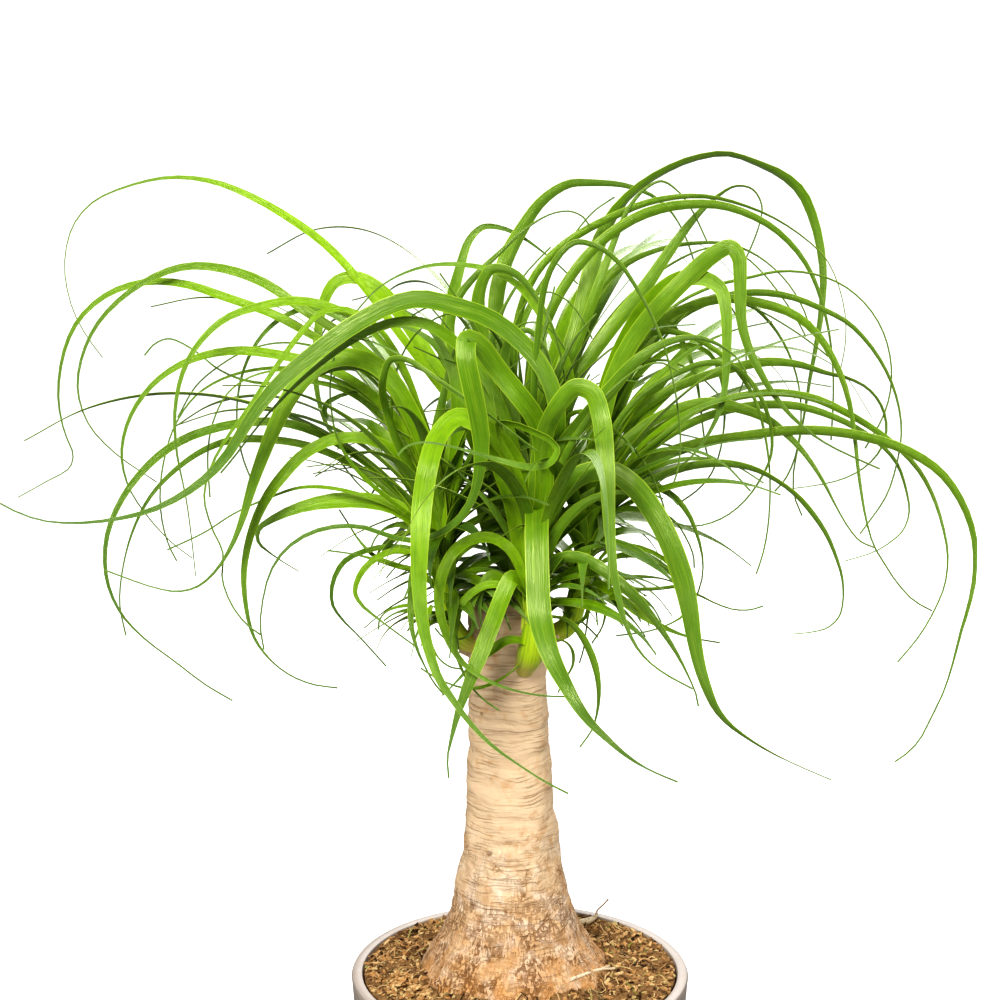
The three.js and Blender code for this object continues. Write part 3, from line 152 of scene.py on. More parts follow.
# Shoots: axis as [sideways, height, towards the viewer, radius], foot in the trunk first
SHOOTS = {
    "left": [[-20, 297, 4, 5], [-31, 303, 10, 7.5], [-37, 318, 14, 8], [-38, 342, 15, 8.5],
    [-40, 368, 15, 9], [-45, 392, 14, 4]],
    "front": [[2, 287, 16, 6], [5, 294, 28, 8.6], [6.5, 311, 34, 8.2], [7, 335, 36, 8.5], [7, 358, 37, 9],
    [7, 382, 40, 4]],
    "right": [[10, 303, 6, 5], [22, 307, 10, 6.5], [28, 320, 12, 7.6], [31, 342, 12, 8.2],
    [34, 370, 12, 9], [40, 394, 12, 4]],
    "back": [[-4, 300, -12, 5], [-3, 308, -24, 8], [0, 326, -31, 8.6], [2, 352, -34, 9],
    [4, 384, -38, 9.5], [10, 412, -42, 4]],
}

# Leaves, foot to tip: shoot, width, [distance towards the viewer along the leaf], [turn of the blade
# from face-on in degrees along the leaf], [route as sideways, height and so on in the trunk's own plane]
LEAVES = [
    # Long arches to the left
    ["left", 4.9, [15, 8, -6, -10, 0], [40, 30, 20, 20, 30, 60], [-38, 350, -46, 395, -60, 428, -80, 447,
     -104, 463, -122, 475.5, -140, 482, -157, 483.5, -172, 479.5, -188, 470, -202, 456, -210, 440, -212.5,
     424, -208, 408, -196, 394, -176, 379.5]],
    ["left", 4.6, [15, 0, -20, -34], [35, 60, 30, 20, 25, 60], [-37, 355, -43, 392, -60, 420, -80, 439, -100,
     450.5, -118, 460.5, -140, 468.5, -160, 475, -178, 476, -196, 470.5, -210, 459, -218, 444, -222, 422,
     -220, 405, -216, 393, -218, 386.5, -229, 380, -243.5, 372]],
    ["left", 4.6, [15, 20, 25, 20], [40, 60, 25, 30, 60], [-38, 352, -44, 400, -58, 435, -72, 453, -88, 463,
     -106, 467, -124, 464.5, -140, 459, -152, 449, -161, 435, -166, 416, -166, 395, -162, 371, -159.8, 350,
     -158.5, 333]],
    ["left", 4.2, [15, 0, -15, -20], [40, 60, 30, 20], [-39, 350, -50, 400, -66, 438, -84, 457, -100, 463.5,
     -113, 459.5, -124, 450, -132, 436, -136, 420, -136.3, 404, -134, 391, -130, 380]],
    ["left", 4.9, [15, 12, 8, 0, -10], [35, 30, 25, 30, 60], [-38, 345, -46, 385, -60, 410, -78, 427, -98,
     437, -115, 441, -132, 443.2, -148, 441.8, -163, 436.5, -177, 426.5, -188, 411, -192.5, 394, -190, 378,
     -182, 364, -170, 350, -160, 342]],
    ["left", 3, [15, 0, -12], [35, 30, 20], [-38, 340, -50, 385, -66, 410, -84, 424, -102, 428.5, -120,
     427.3, -134, 429.5, -145, 434.5, -157, 444, -168, 449, -175, 446.5, -180, 441]],
    ["left", 4.6, [15, 5, 10, 20, 25], [35, 30, 25, 25, 30], [-38, 338, -48, 362, -62, 378, -80, 393, -98,
     403.5, -115, 408.5, -132, 408.5, -148, 405.5, -163, 400, -178, 389.5, -192, 373, -201, 353, -202, 332,
     -196, 315, -185, 302, -170, 290, -155, 278, -142, 270]],
    ["left", 4.2, [15, -5, -15, -20], [35, 30, 25, 30], [-38, 336, -50, 358, -64, 375, -82, 388.5, -102, 397,
     -122, 400.3, -140, 399.8, -154, 394.5, -168, 384.5, -180, 371.5, -189, 354, -194.5, 334, -196, 318,
     -193.5, 303]],
    ["left", 9.1, [16, 28, 36, 40, 42, 38], [30, 20, 25, 25, 60, 30], [-37, 350, -43, 385, -54, 415, -67,
     434, -82, 440, -96, 436.5, -108, 425, -117, 409, -124, 393, -130, 377, -135, 361, -141, 347, -149, 335,
     -158, 327.5, -168, 325.2, -180, 327.5, -203, 336]],
    ["left", 7, [15, 24, 28], [35, 30, 20], [-38, 345, -44, 380, -53, 408, -64, 427, -76, 434.8, -90, 434,
     -101, 428.5, -108.5, 419]],
    ["left", 5.7, [15, 25, 30, 28], [35, 25, 20, 20, 30], [-38, 342, -46, 372, -58, 392, -74, 400.5, -90,
     400.3, -104, 393.5, -115, 382.5, -124, 370, -131, 354, -134.8, 336, -134.3, 318, -131, 303, -124.5,
     292.5, -115, 284, -103, 278.5, -90, 276.5]],
    ["left", 8.3, [15, 12, 14, 8], [30, 25, 20, 60], [-38, 335, -48, 356, -60, 366.5, -76, 370.3, -92, 370,
     -106, 367.3, -118, 362.5, -127, 356.5, -127.5, 350, -120, 343, -108, 335.3]],
    ["left", 2.9, [16, 26, 34, 40], [30, 25, 25], [-37, 352, -44, 395, -56, 435, -70, 456, -84, 463, -95,
     461.5, -103, 454, -111, 444, -121, 430, -132, 414, -142, 400.5, -149.5, 387, -153.3, 372, -150, 357,
     -145, 345, -145.5, 331, -141, 318, -134, 308.5, -127.5, 303.5]],
    ["left", 2, [15, -10, -30, -30], [30, 30, 30], [-38, 348, -52, 390, -75, 420, -105, 434, -135, 432.5,
     -155, 422.5, -166, 408, -171.5, 393, -174.5, 376, -174, 360, -171, 348, -167.5, 340.5]],
    ["left", 1.8, [15, -5, -15], [30, 30], [-38, 350, -50, 398, -72, 430, -98, 445, -116, 447, -132, 443,
     -145, 435.5, -156, 426, -165, 411]],
    ["left", 1.8, [15, 5, -5], [30, 30], [-38, 346, -52, 395, -78, 424, -105, 433.5, -126, 432, -140, 423.5,
     -148, 409, -151, 393, -150.5, 372]],
    ["left", 2, [15, 18, 22], [30, 30], [-38, 340, -55, 362, -80, 374, -105, 377, -125, 370.5, -139, 364,
     -154, 354.5, -172, 346]],
    # Short and thin leaves low on the left
    ["left", 3, [15, 0, -10], [30, 20, 30], [-38, 325, -48, 334, -60, 338, -70, 342, -78, 350, -84, 359.5,
     -88, 366]],
    ["left", 2.7, [15, 10, 8], [30, 30, 20], [-38, 322, -50, 335, -62, 338.5, -72, 341.5, -82, 344, -94,
     345.7]],
    ["left", 3.1, [15, 0, -15], [35, 30, 30], [-38, 330, -48, 344, -62, 347.5, -76, 345.3, -86, 340, -91.5,
     330, -92, 319, -87.5, 311.5, -79, 302.5, -66, 287.5]],
    ["left", 3.4, [15, 22, 28], [35, 25, 30], [-38, 328, -48, 341, -60, 345.5, -70, 342, -78, 334, -80.8,
     325, -78, 319, -70, 311.8, -60, 304, -50, 296.5]],
    ["left", 4.2, [15, 5, -5], [30, 15, 20], [-38, 332, -46, 350, -56, 358.3, -65, 357, -70.5, 352, -73,
     346.5]],
    ["left", 3.8, [15, 26, 34], [20, 20, 20], [-38, 322, -45, 331, -52, 331, -57, 321.5]],
    ["left", 3.4, [14, 24, 30], [20, 20, 20], [-38, 308, -46, 314.5, -55, 315.8, -62, 314, -67, 310.5]],
    ["left", 2.2, [14, 10, 5], [20, 20], [-38, 310, -47, 317, -57, 318, -65, 315.5, -69, 311, -69.5, 306]],
    ["left", 2.3, [15, 28, 36], [35, 30, 30], [-38, 340, -48, 357, -60, 368, -72, 378, -82, 389, -88.5, 401,
     -91, 414, -91.5, 427, -89.5, 440]],
    ["left", 1.8, [15, 0, -20], [30, 30], [-38, 345, -52, 360, -66, 369, -76, 376, -83, 384, -88, 391]],
    ["left", 3.4, [15, 25, 34, 36], [20, 15, 15], [-38, 325, -46, 338, -52, 335, -53.5, 322, -53.5, 309, -51,
     297, -47, 287.5, -42.5, 279, -38, 273.5]],
    ["left", 2.5, [14, 28, 34, 34], [20, 20], [-38, 312, -43, 318, -45.5, 309, -44, 299.5, -40, 291.5, -34.5,
     287.2, -29.5, 286.2]],
    ["left", 2, [15, 18, 22, 24], [30, 30], [-37, 355, -48, 378, -57, 392, -61.5, 405, -62.3, 418, -60.3,
     431, -56.5, 442, -50, 451.5, -42, 458, -34, 461, -27, 459.5]],
    ["left", 4.6, [15, 20, 30, 56, 66, 68, 66], [30, 30, 40, 30, 30], [-38, 352, -50, 380, -59, 398, -64.5,
     415, -66, 429, -62.5, 438.5, -55, 439, -40, 429.5, -27, 420.5, -15.5, 412.5, -3, 403, 8, 394.5]],
    ["left", 7.4, [15, 12, 10, 4, 0, 2], [20, 20, 20, 75, 20, 20], [-38, 348, -50, 375, -62, 396, -74, 408.5,
     -86, 409.5, -93.5, 410.5, -94, 417, -86, 422, -74, 423.5, -62, 418]],
    # Broad leaves that fold over and hang in front
    ["front", 9.1, [36, 42, 58, 80, 88, 94, 100, 106, 112], [10, 20, 20, 5, 5, 10, 20, 15], [7, 345, 4, 372,
     -6, 394, -18, 406, -30, 411, -39, 403, -44.5, 388, -47.5, 370, -49, 350, -49.5, 330, -48, 310, -45, 296,
     -40.5, 282, -34, 271.5, -26, 260, -14, 247, 0, 236.5, 12, 228.5, 24, 222]],
    ["front", 9.1, [36, 48, 66, 84, 78, 66, 60, 56, 52], [10, 10, 10, 20, 60, 60, 30, 30], [7, 345, 11.5,
     385, 8, 408, 1, 419, -10.5, 433, -20, 446, -25.5, 448.5, -26, 440, -23, 425, -20, 410, -18.5, 397,
     -19.5, 386, -22, 374, -28, 363, -38, 354.5, -50, 350.5, -62, 352, -76, 357, -90, 357.5, -104, 353.5,
     -115, 345.5, -122, 335, -126, 321, -127.5, 308, -126, 296]],
    ["front", 11, [36, 46, 62, 72, 80, 88, 94, 100], [10, 10, 10, 15, 25, 20], [7, 335, 7.5, 355, 8, 366.5,
     8, 352, 8.5, 333, 9.5, 315, 13, 299, 17.5, 287.5, 23, 277, 29, 266.5, 35, 258.5, 42, 251.5, 50, 244, 58,
     238, 67, 233, 78.5, 228]],
    ["front", 8.3, [34, 44, 56, 62, 66, 68], [10, 20, 15, 15], [5, 318, 1, 328, -4, 331.5, -8, 324, -12.5,
     312, -17, 300, -21.5, 288.5, -26, 277, -30, 266, -33.5, 253, -36, 241, -35.5, 230]],
    ["front", 4.6, [30, 38, 42, 44, 45], [20, 15, 15], [5, 293, 1, 299.5, -6, 300.5, -13, 296.5, -20, 291,
     -27, 284.5, -33, 278, -38.5, 272.5]],
    ["front", 5.3, [34, 46, 58, 64, 68, 66], [30, 20, 20, 15, 20], [6, 318, 0, 336, -6, 347, -14, 351.8, -24,
     351, -32, 345.5, -37.5, 335.5, -39.8, 322, -38, 309, -33.5, 297, -27, 288, -18, 281.3, -8, 276.8, 4,
     273.6, 14, 272.3, 24, 272]],
    ["front", 3.7, [33, 42, 48, 52, 54], [20, 20, 25], [3, 312, -2, 324, -9, 328.3, -17, 328.3, -24, 324.3,
     -29.5, 317.5, -32, 308, -32, 297, -29, 286.5, -24.5, 277.5, -18, 270.5, -10.5, 265]],
    ["front", 5.3, [32, 35, 38, 40], [15, 15, 10], [2, 315, -6, 328, -14, 333, -19, 327, -20, 317, -18.5,
     304]],
    ["front", 3.1, [32, 38, 44, 44, 42], [20, 20], [-2, 318, -12, 328, -20, 326, -24, 317, -22.8, 309, -25,
     303.3, -31, 301, -37.5, 302, -42, 307]],
    ["front", 1.8, [26, 36, 42, 44], [20, 20], [2, 291, -3, 286, -10, 280.5, -18, 277, -27, 276.3, -36, 279,
     -43, 282.5, -49, 286.5]],
    ["front", 3.8, [34, 40, 44, 46], [30, 25, 25], [7, 312, 14, 312.5, 21, 311.5, 28, 305.5, 33.5, 296.5,
     37.2, 286, 38.7, 275, 38, 264, 35.5, 255, 29.5, 246]],
    ["front", 2.2, [33, 36, 38, 38], [30, 25], [9, 300, 16, 301, 22, 300, 25.5, 295, 25.8, 288.5, 22.5,
     281.5, 18.5, 274]],
    ["front", 8.5, [36, 48, 66, 80, 88, 94, 98, 104], [10, 10, 20, 10, 5, 15, 15, 20], [7, 352, 8, 378, 11,
     400, 17, 415, 26, 425.3, 34, 423, 38.5, 411, 40.5, 396, 42, 380, 42.6, 366, 43.6, 352, 45, 338, 47.5,
     324, 51, 310.5, 56, 299, 62.5, 290.5, 71, 283.8, 79, 279.2, 85, 276]],
    ["front", 5.9, [36, 48, 58, 64, 68], [30, 20, 25, 15], [8, 326, 13, 335.5, 20, 341.8, 29, 342, 38, 337.5,
     47, 330.5, 56, 322.5, 64, 313, 71.5, 302.5, 78, 292, 83, 282, 86.5, 274, 88, 267]],
    ["front", 10, [36, 46, 56, 64, 70, 76, 80, 84], [15, 20, 10, 10, 20, 60, 60], [8, 350, 18, 372, 30, 383,
     44, 384.5, 54, 378, 62, 368.5, 69, 357, 75, 343.5, 79.5, 330, 82.7, 316, 85, 302, 88, 288, 92, 276,
     96.5, 266, 103, 258, 112, 251, 124, 243.5, 138, 236.5, 155, 229]],
    ["front", 5.2, [36, 52, 62, 74, 90, 102, 106], [35, 60, 65, 60, 20, 15, 20], [6, 355, 0, 380, -10, 400,
     -11, 408.5, -3, 408, 6, 404.5, 14, 400.5, 17.8, 395.5, 15, 389.5, 8, 386.8, -2, 388, -12, 390.8, -24,
     394.3, -36, 397.5, -47, 399, -55, 397, -59.5, 392.5]],
    ["front", 3.4, [35, 42, 46, 48], [15, 15], [6, 338, 0, 345, -6, 355, -13, 366, -21, 375.5, -29, 383.5,
     -35, 390]],
    ["front", 3.1, [36, 46, 52, 50, 48], [20, 20, 30], [8, 358, 6, 400, 8, 450, 14, 482, 25, 494.5, 36,
     492.8, 46, 485.5, 55, 473, 62, 460.5, 68, 446.5, 72.5, 431, 75.5, 415, 77, 399, 76, 386, 74, 379]],
    ["front", 8.7, [36, 46, 54, 60, 62, 64, 64], [35, 30, 20, 25, 20, 20, 30, 30], [8, 360, 15, 390, 17, 415,
     10, 435, -2, 449, -16, 459, -32, 464.5, -48, 467.8, -62, 464.8, -78, 456.5, -94, 445.5, -109, 434, -122,
     421, -132, 407.5, -141, 393.5, -151, 382.5, -164, 373, -180, 365.3, -198, 361, -216, 359.3, -232, 360.5,
     -246, 365.5, -262, 375]],
    ["front", 5.3, [36, 44, 50, 52], [30, 20, 15, 20, 15], [6, 358, -2, 392, -14, 425, -30, 446, -47, 456.5,
     -64, 456, -80, 448.5, -94, 438.5, -107, 427.5, -119, 415.5, -130, 402.5, -139, 391, -145, 384]],
    ["front", 3.8, [36, 46, 50, 50], [30, 30], [6, 352, -6, 388, -20, 412, -34, 425, -48, 435, -60, 442.5,
     -72, 447.8, -84, 449.7]],
    # Right side: two that fold over, and long arches
    ["right", 8.3, [12, 14, 16, 22, 30, 32, 32, 30], [10, 10, 10, 5, 10, 15, 20], [32, 360, 37, 400, 46, 434,
     58, 455, 70, 469, 82, 481, 92, 489.5, 99, 492.5, 103, 488, 104, 478, 104.3, 466, 105.5, 455, 109, 444,
     114, 434, 120, 424, 128, 414, 137, 405.5, 147, 398.5, 160, 392, 173.5, 386]],
    ["right", 8.5, [12, 10, 10, 20, 28, 28, 24], [10, 20, 10, 5, 5, 20, 60], [32, 355, 35, 395, 42, 428, 52,
     452, 64, 469, 76, 477.5, 88, 477.5, 95, 472.5, 97.7, 462, 98.3, 450, 98.4, 438, 98, 427, 96.5, 417,
     92.5, 407, 87, 397.5, 80, 389.5, 71, 382.5, 61, 375]],
    ["right", 3.2, [12, 5, 0, 5, 8, 8], [30, 30], [32, 358, 37, 410, 46, 438, 57, 449.5, 68, 452.5, 80,
     450.5, 90, 445.5, 99, 438.5, 107, 429, 113.5, 417, 117.5, 403, 120, 388, 120.8, 372, 120, 356, 118, 344,
     115, 334]],
    ["right", 2.5, [12, 20, 28, 30, 28], [30, 30], [30, 365, 24, 395, 22, 410, 28, 414, 36, 411.5, 45, 405,
     54, 396.5, 61, 387, 66, 377, 69.5, 367, 70.5, 361]],
    ["right", 4.8, [12, 5, 0, -5, -14, -20, -20], [30, 30, 20, 20, 60, 30, 60], [32, 352, 36, 382, 46, 402.5,
     58, 415, 72, 424.3, 87, 430.5, 102, 435, 117, 437.8, 132, 436.8, 146, 432.5, 158, 429.5, 167, 424.5,
     173.5, 416, 176, 405, 173.5, 395.5, 167, 387.5, 158, 382, 147, 378.7, 132.5, 376.5]],
    ["right", 5.7, [12, 8, 2, 5, 14, 20], [30, 25, 20, 15, 20, 30], [33, 362, 39, 382, 48, 396.5, 60, 407,
     74, 414.5, 89, 418, 104, 415.8, 118, 410.5, 129, 402, 138.5, 391.5, 146.5, 379.5, 153, 367.5, 159,
     357.5, 165, 350.5, 172, 347.2]],
    ["right", 4.2, [12, 0, -10, -15, -10, 0, 5], [30, 30, 30, 25, 20, 20, 30], [33, 358, 40, 380, 52, 395.5,
     68, 406.5, 86, 415, 104, 421, 122, 423, 140, 420.5, 156, 413.5, 170, 405.3, 183, 395.5, 193, 384.5, 200,
     372, 205, 358, 208, 344, 207.3, 329, 202.5, 315.5, 195.5, 302.5, 185.5, 289.5]],
    ["right", 5.2, [12, 5, 10, 20, 25, 30], [35, 30, 30, 30, 20, 15, 15, 30], [33, 352, 42, 374, 54, 386.5,
     70, 393.8, 88, 399, 108, 402, 128, 404.5, 148, 404.3, 168, 401, 186, 395, 202, 385, 213, 371, 220, 354,
     221.8, 337, 220, 321, 216, 304.5, 213, 290, 209, 275, 203.5, 262, 198, 250, 192, 243, 186, 238.5]],
    ["right", 4.6, [12, -5, -15, -20, -15], [35, 30, 30, 20, 30, 60], [33, 350, 44, 376, 58, 392, 75, 404.5,
     94, 413, 114, 417, 134, 416.3, 150, 411.5, 164, 404.5, 175, 396.5, 182, 388, 186.5, 376, 188.5, 365,
     186, 356, 180, 350, 172, 345, 158, 340.5]],
    ["right", 3.2, [12, 12, 12, 10, 10], [30, 25, 30], [33, 355, 40, 395, 54, 418, 72, 431, 90, 437.5, 103,
     434.5, 112, 426, 118, 414.5, 121, 402, 120.5, 391.5, 116.5, 382, 110, 372, 101.5, 364, 92, 359.3, 82,
     357.8, 70, 361]],
    ["right", 3.4, [12, -5, -10], [30, 30], [33, 358, 38, 395, 46, 425, 57, 437, 68, 438.8, 78, 435.8, 87,
     430, 94.5, 422.5]],
    ["right", 4.9, [12, 0, -10, -8], [20, 15, 20], [33, 360, 40, 410, 52, 445, 63, 457.5, 72, 455, 79, 443.5,
     83.5, 432, 86, 419, 87.7, 406, 89.5, 395, 91.8, 387]],
    ["right", 3.2, [12, -5, -15, -15], [30, 20, 30], [33, 358, 42, 405, 60, 436, 78, 446, 90, 442, 96, 430,
     98, 415, 97.5, 403, 95.5, 392, 91.5, 382.5, 85.5, 375.5, 78, 370]],
    ["right", 4.2, [12, 18, 26, 28, 25, 20], [30, 30, 25, 60, 20, 20, 60], [33, 348, 42, 364, 54, 375, 68,
     382.5, 83, 387.5, 98, 388.6, 112, 386, 124, 380, 134, 372.5, 142, 363.5, 148.5, 354, 153.5, 343, 157,
     332, 157.8, 321, 156, 312.5, 150.5, 307, 142, 304.7, 132.5, 303.8]],
    ["right", 3.6, [12, 18, 22, 22], [30, 30], [33, 350, 42, 366, 53, 375.5, 64, 377.3, 74, 372.5, 81.5,
     363.5, 86.3, 352, 88.8, 341, 88.5, 331, 84.5, 318.5]],
    ["right", 2, [12, 10, 5], [30, 30], [30, 325, 42, 329, 55, 326.5, 66, 326.5, 77, 327.5, 86, 324, 95,
     319.5, 104, 316.3, 112, 316, 119, 318]],
    ["right", 3.4, [12, 18, 20], [30, 30], [30, 330, 40, 339.5, 51, 343.3, 61, 341.8, 70, 337.5, 76, 333]],
    ["right", 2.7, [12, 5, 0], [30, 30], [30, 322, 42, 329, 54, 332.3, 65, 332.3, 73, 330.5, 79, 327]],
    ["right", 4.6, [12, 28, 36, 40], [30, 20, 30], [29, 322, 36, 328.5, 44, 325.5, 53, 318.5, 62, 312, 71,
     307, 80, 303.3, 89, 301, 98, 299.5]],
    ["right", 2.5, [12, 20, 28, 32], [30, 30], [31, 335, 45, 348, 62, 346, 76, 336, 83, 322, 80, 313.5, 72,
     308.3, 62, 305, 47, 303]],
    ["right", 2.7, [12, 20, 24], [30, 30], [28, 318, 33, 328, 38, 323.5, 41.3, 316, 40.3, 308, 35, 299]],
    ["right", 2.7, [12, 20, 23], [30, 30], [28, 322, 32, 326, 33.5, 319, 32, 312.5, 28, 309.3, 22, 311, 17,
     313]],
    ["right", 1.6, [12, 5, 0], [30, 30], [30, 335, 37, 338, 36, 328, 33.5, 316, 32, 304, 31, 296, 29, 289]],
    ["right", 4.9, [12, 20, 24], [15, 20], [32, 355, 39, 364, 40, 356, 36.5, 349, 32, 342]],
    ["right", 1.6, [12, -10, -25], [30, 30], [33, 362, 50, 420, 76, 458, 93, 470, 102, 461, 106.5, 450,
     107.8, 438, 107, 430, 104.8, 423]],
    ["right", 1.8, [12, 8, 4], [30, 30], [32, 350, 46, 364, 62, 366, 74, 361, 81, 351, 84.2, 343, 84.7,
     337]],
    ["right", 4.6, [12, 5, 0, -5, 0, 10, 10], [30, 30, 25, 15, 25, 15, 30], [33, 365, 42, 415, 54, 445, 68,
     458.5, 84, 465.5, 100, 468, 116, 465.5, 130, 460.5, 141, 451.5, 149, 440, 155, 427, 158.7, 414, 161,
     401, 162.7, 388, 165, 374, 168, 360, 172, 348, 177.5, 339, 184, 329.5, 192, 321, 201.5, 315.5]],
    ["right", 2.7, [12, -10, -20, -15], [30, 25], [33, 365, 44, 420, 62, 452, 84, 467, 104, 468, 115, 460.5,
     124, 449.5, 130.5, 436, 134, 422, 134.7, 407, 132.5, 392, 128, 381, 123, 375]],
    ["right", 2, [12, -5, -10], [30, 30], [33, 366, 46, 425, 68, 456, 92, 468.5, 112, 463, 126, 455.5, 138,
     447.5, 147, 440.5]],
    ["right", 1.8, [12, -20, -30, -30], [30, 30], [33, 368, 48, 430, 70, 462, 90, 473.5, 108, 478, 122, 481,
     138, 480, 152, 475, 164, 465.5, 172.5, 453, 177, 438, 177.3, 424, 174, 411, 166, 396]],
    ["right", 3.8, [12, -10, -20, -20, -15], [30, 25, 25, 30], [33, 368, 50, 428, 74, 458, 95, 468.5, 112,
     471, 128, 469, 143, 463.3, 156, 456.5, 167, 445.5, 175.5, 432.5, 181, 418.5, 183.3, 404, 181.5, 388,
     177, 372.5, 165, 354]],
    # Tall leaves from behind
    ["back", 8.5, [-35, -50, -60, -75, -85, -90], [15, 20, 20, 30, 20, 15], [3, 375, -6, 425, -12, 462, -8,
     484, 0, 500, 10, 514, 22, 521.8, 34, 522.5, 48, 521.5, 60, 517.5, 69, 511, 75.5, 502, 79.5, 493, 82.5,
     484]],
    ["back", 8.5, [-36, -45, -60, -70, -80, -85, -80, -75, -70], [20, 20, 15, 60, 70, 25, 20, 20, 30], [4,
     380, 16, 420, 27, 455, 34, 485, 42, 505, 54, 519.5, 68, 529.5, 82, 535.5, 97, 537.5, 111, 533, 123, 527,
     131.5, 519, 137.5, 507, 141.5, 493, 143.5, 478, 143, 462, 141, 446, 138.5, 430, 136.5, 414, 134, 398,
     131.8, 384, 132.5, 373, 136.5, 363]],
    ["back", 7.5, [-36, -45, -50, -60, -70, -72], [15, 20, 15, 15, 60, 15], [5, 380, 24, 425, 44, 455, 58,
     472, 70, 490, 81, 505, 91, 515, 101, 521, 109, 519.5, 113.5, 512, 112.5, 503, 109.5, 494, 106, 486]],
    ["back", 4.5, [-36, -50, -55, -60, -62], [35, 30, 30, 60, 65], [3, 370, -4, 415, -2, 455, 6, 478, 17,
     491, 30, 500, 44, 507, 58, 512.8, 74, 516, 90, 515.8, 105, 512, 119, 506.3, 133, 497.5, 144.5, 487, 151,
     474, 154.5, 460, 155, 447, 153, 434]],
    ["back", 5.9, [-36, -40, -45, -45, -45, -50], [30, 30, 30, 30, 25, 20, 20, 20], [5, 375, 4, 420, 12, 456,
     24, 479, 38, 495, 52, 505, 66, 510.5, 80, 512.5, 94, 512, 107, 508, 119, 501.5, 129.5, 492, 137.5,
     480.5, 143, 467, 147, 452, 149.3, 436, 150, 420, 149.5, 400]],
    ["back", 5, [-36, -38, -40, -55, -60], [20, 20, 15, 30, 30], [5, 378, 18, 420, 30, 455, 38, 478, 44, 495,
     51, 511, 58, 519.5, 66, 523.3, 74, 518.5, 80.5, 510, 88.5, 494]],
    ["back", 4, [-36, -55, -70, -80, -80], [30, 30], [4, 370, 12, 410, 24, 448, 36, 471, 50, 484.5, 66,
     491.5, 82, 494.3, 98, 494, 110, 489.5, 120.5, 482, 129, 472.5, 135, 462, 138.5, 452]],
    ["back", 2, [-36, -60, -75, -80], [30, 30], [5, 372, 20, 420, 45, 462, 72, 485, 92, 492.5, 105, 488.5,
     115, 480, 124, 469, 131, 459, 136, 450]],
    ["back", 5.4, [-36, -42, -45, -48], [20, 15, 20, 30], [2, 375, -20, 415, -34, 452, -30, 468, -22, 478.5,
     -10, 490, 2, 501, 14, 508, 23, 509.3, 29, 506.8, 32, 503]],
    ["back", 7.5, [-36, -55, -70, -76, -78], [20, 20, 20, 15, 20, 30], [1, 372, -22, 405, -36, 435, -34, 462,
     -29, 483, -24.5, 496, -18, 502, -9, 501.5, 0, 497.5, 10, 490.5, 20, 482, 27, 475]],
    ["back", 4.5, [-36, -30, -28, -30, -35], [30, 30, 25, 30], [5, 370, 16, 402, 24, 425, 20, 442, 11, 458,
     0, 473, -12, 480.8, -26, 484, -42, 484, -56, 480, -68, 473, -78, 462.5, -86, 452]],
    ["back", 4.5, [-36, -50, -60, -70, -75], [30, 25, 25, 60, 60], [1, 368, -20, 400, -42, 430, -60, 454,
     -76, 475.5, -92, 493, -108, 505, -126, 515.5, -145, 523, -165, 525, -185, 521, -202, 513.5, -212, 502,
     -216.5, 484, -214, 465, -208, 451.5, -200, 440]],
    ["back", 7.5, [-36, -48, -55, -60, -55, -50], [20, 15, 15, 20, 25, 60], [0, 365, -18, 398, -38, 430, -54,
     456, -66, 471, -78, 478, -88, 476, -94, 466, -97, 450, -98.5, 434, -97.3, 421, -94.8, 411, -91, 404,
     -83, 403, -72, 406, -60, 413, -52, 421]],
    ["back", 1.6, [-34, -30, -28, -28], [30, 30], [3, 368, -10, 402, -19, 432, -13, 446, -4, 454, 6, 457, 15,
     452.5, 21, 444]],
    ["back", 2, [-34, -30, -28], [30, 30], [4, 372, -2, 415, -4, 450, 4, 468, 13, 471.3, 21, 468, 28, 460.5,
     34, 449]],
    ["back", 4.5, [-36, -62, -80, -95], [15, 15], [3, 372, -4, 415, -2, 448, 6, 468, 15, 483, 24, 497, 34,
     509, 44, 516]],
    ["back", 4.5, [-34, -32, -30], [30, 30], [2, 372, -10, 415, -13, 448, -6, 468, 3, 481, 14, 492.5]],
    # Leaves that fill the crown"s middle
    ["left", 8.7, [15, 20, 22], [15, 15], [-38, 345, -40, 375, -50, 404, -60, 429, -67, 438, -77, 442, -86,
     439]],
    ["left", 7.4, [15, 14, 6], [15, 15], [-37, 345, -34, 375, -30, 405, -32, 430, -38, 446, -47, 457, -59,
     464, -70, 464]],
    ["front", 7, [35, 26, 24, 26, 32], [15, 20, 40], [5, 345, 3, 375, -4, 413, -8, 434, -5, 449, 3, 453, 11,
     445, 16, 430, 18, 414]],
    ["front", 4.9, [36, 44, 50], [15, 30], [6, 350, 0, 378, -9, 395, -19, 405, -29, 406, -37, 400, -42, 386,
     -44, 370]],
    ["front", 7.4, [36, 44, 50, 52], [15, 20, 30], [8, 355, 15, 388, 29, 408, 42, 423, 56, 439, 72, 448, 87,
     449, 103, 440, 112, 424]],
    ["right", 7.8, [12, 8, 0], [15, 15], [31, 350, 26, 378, 19, 405, 13, 430, 11, 450, 16, 474]],
    ["back", 8, [-34, -26, -18, -12], [15, 20, 40], [2, 370, -10, 415, -18, 448, -20, 470, -14, 482, -3, 480,
     7, 469, 16, 452, 22, 425]],
    ["back", 10, [-33, -20, -12, -14], [15, 15, 30], [0, 345, -12, 378, -23, 405, -31, 430, -43, 448, -59,
     455, -74, 449]],
    ["back", 10, [-33, -18, -8], [15, 10], [1, 345, -5, 375, -12, 402, -15, 428, -12, 455, -2, 474]],
    ["back", 10, [-33, -18, -8, -12], [15, 10, 30], [3, 345, 5, 375, 9, 402, 16, 428, 25, 448, 36, 461]],
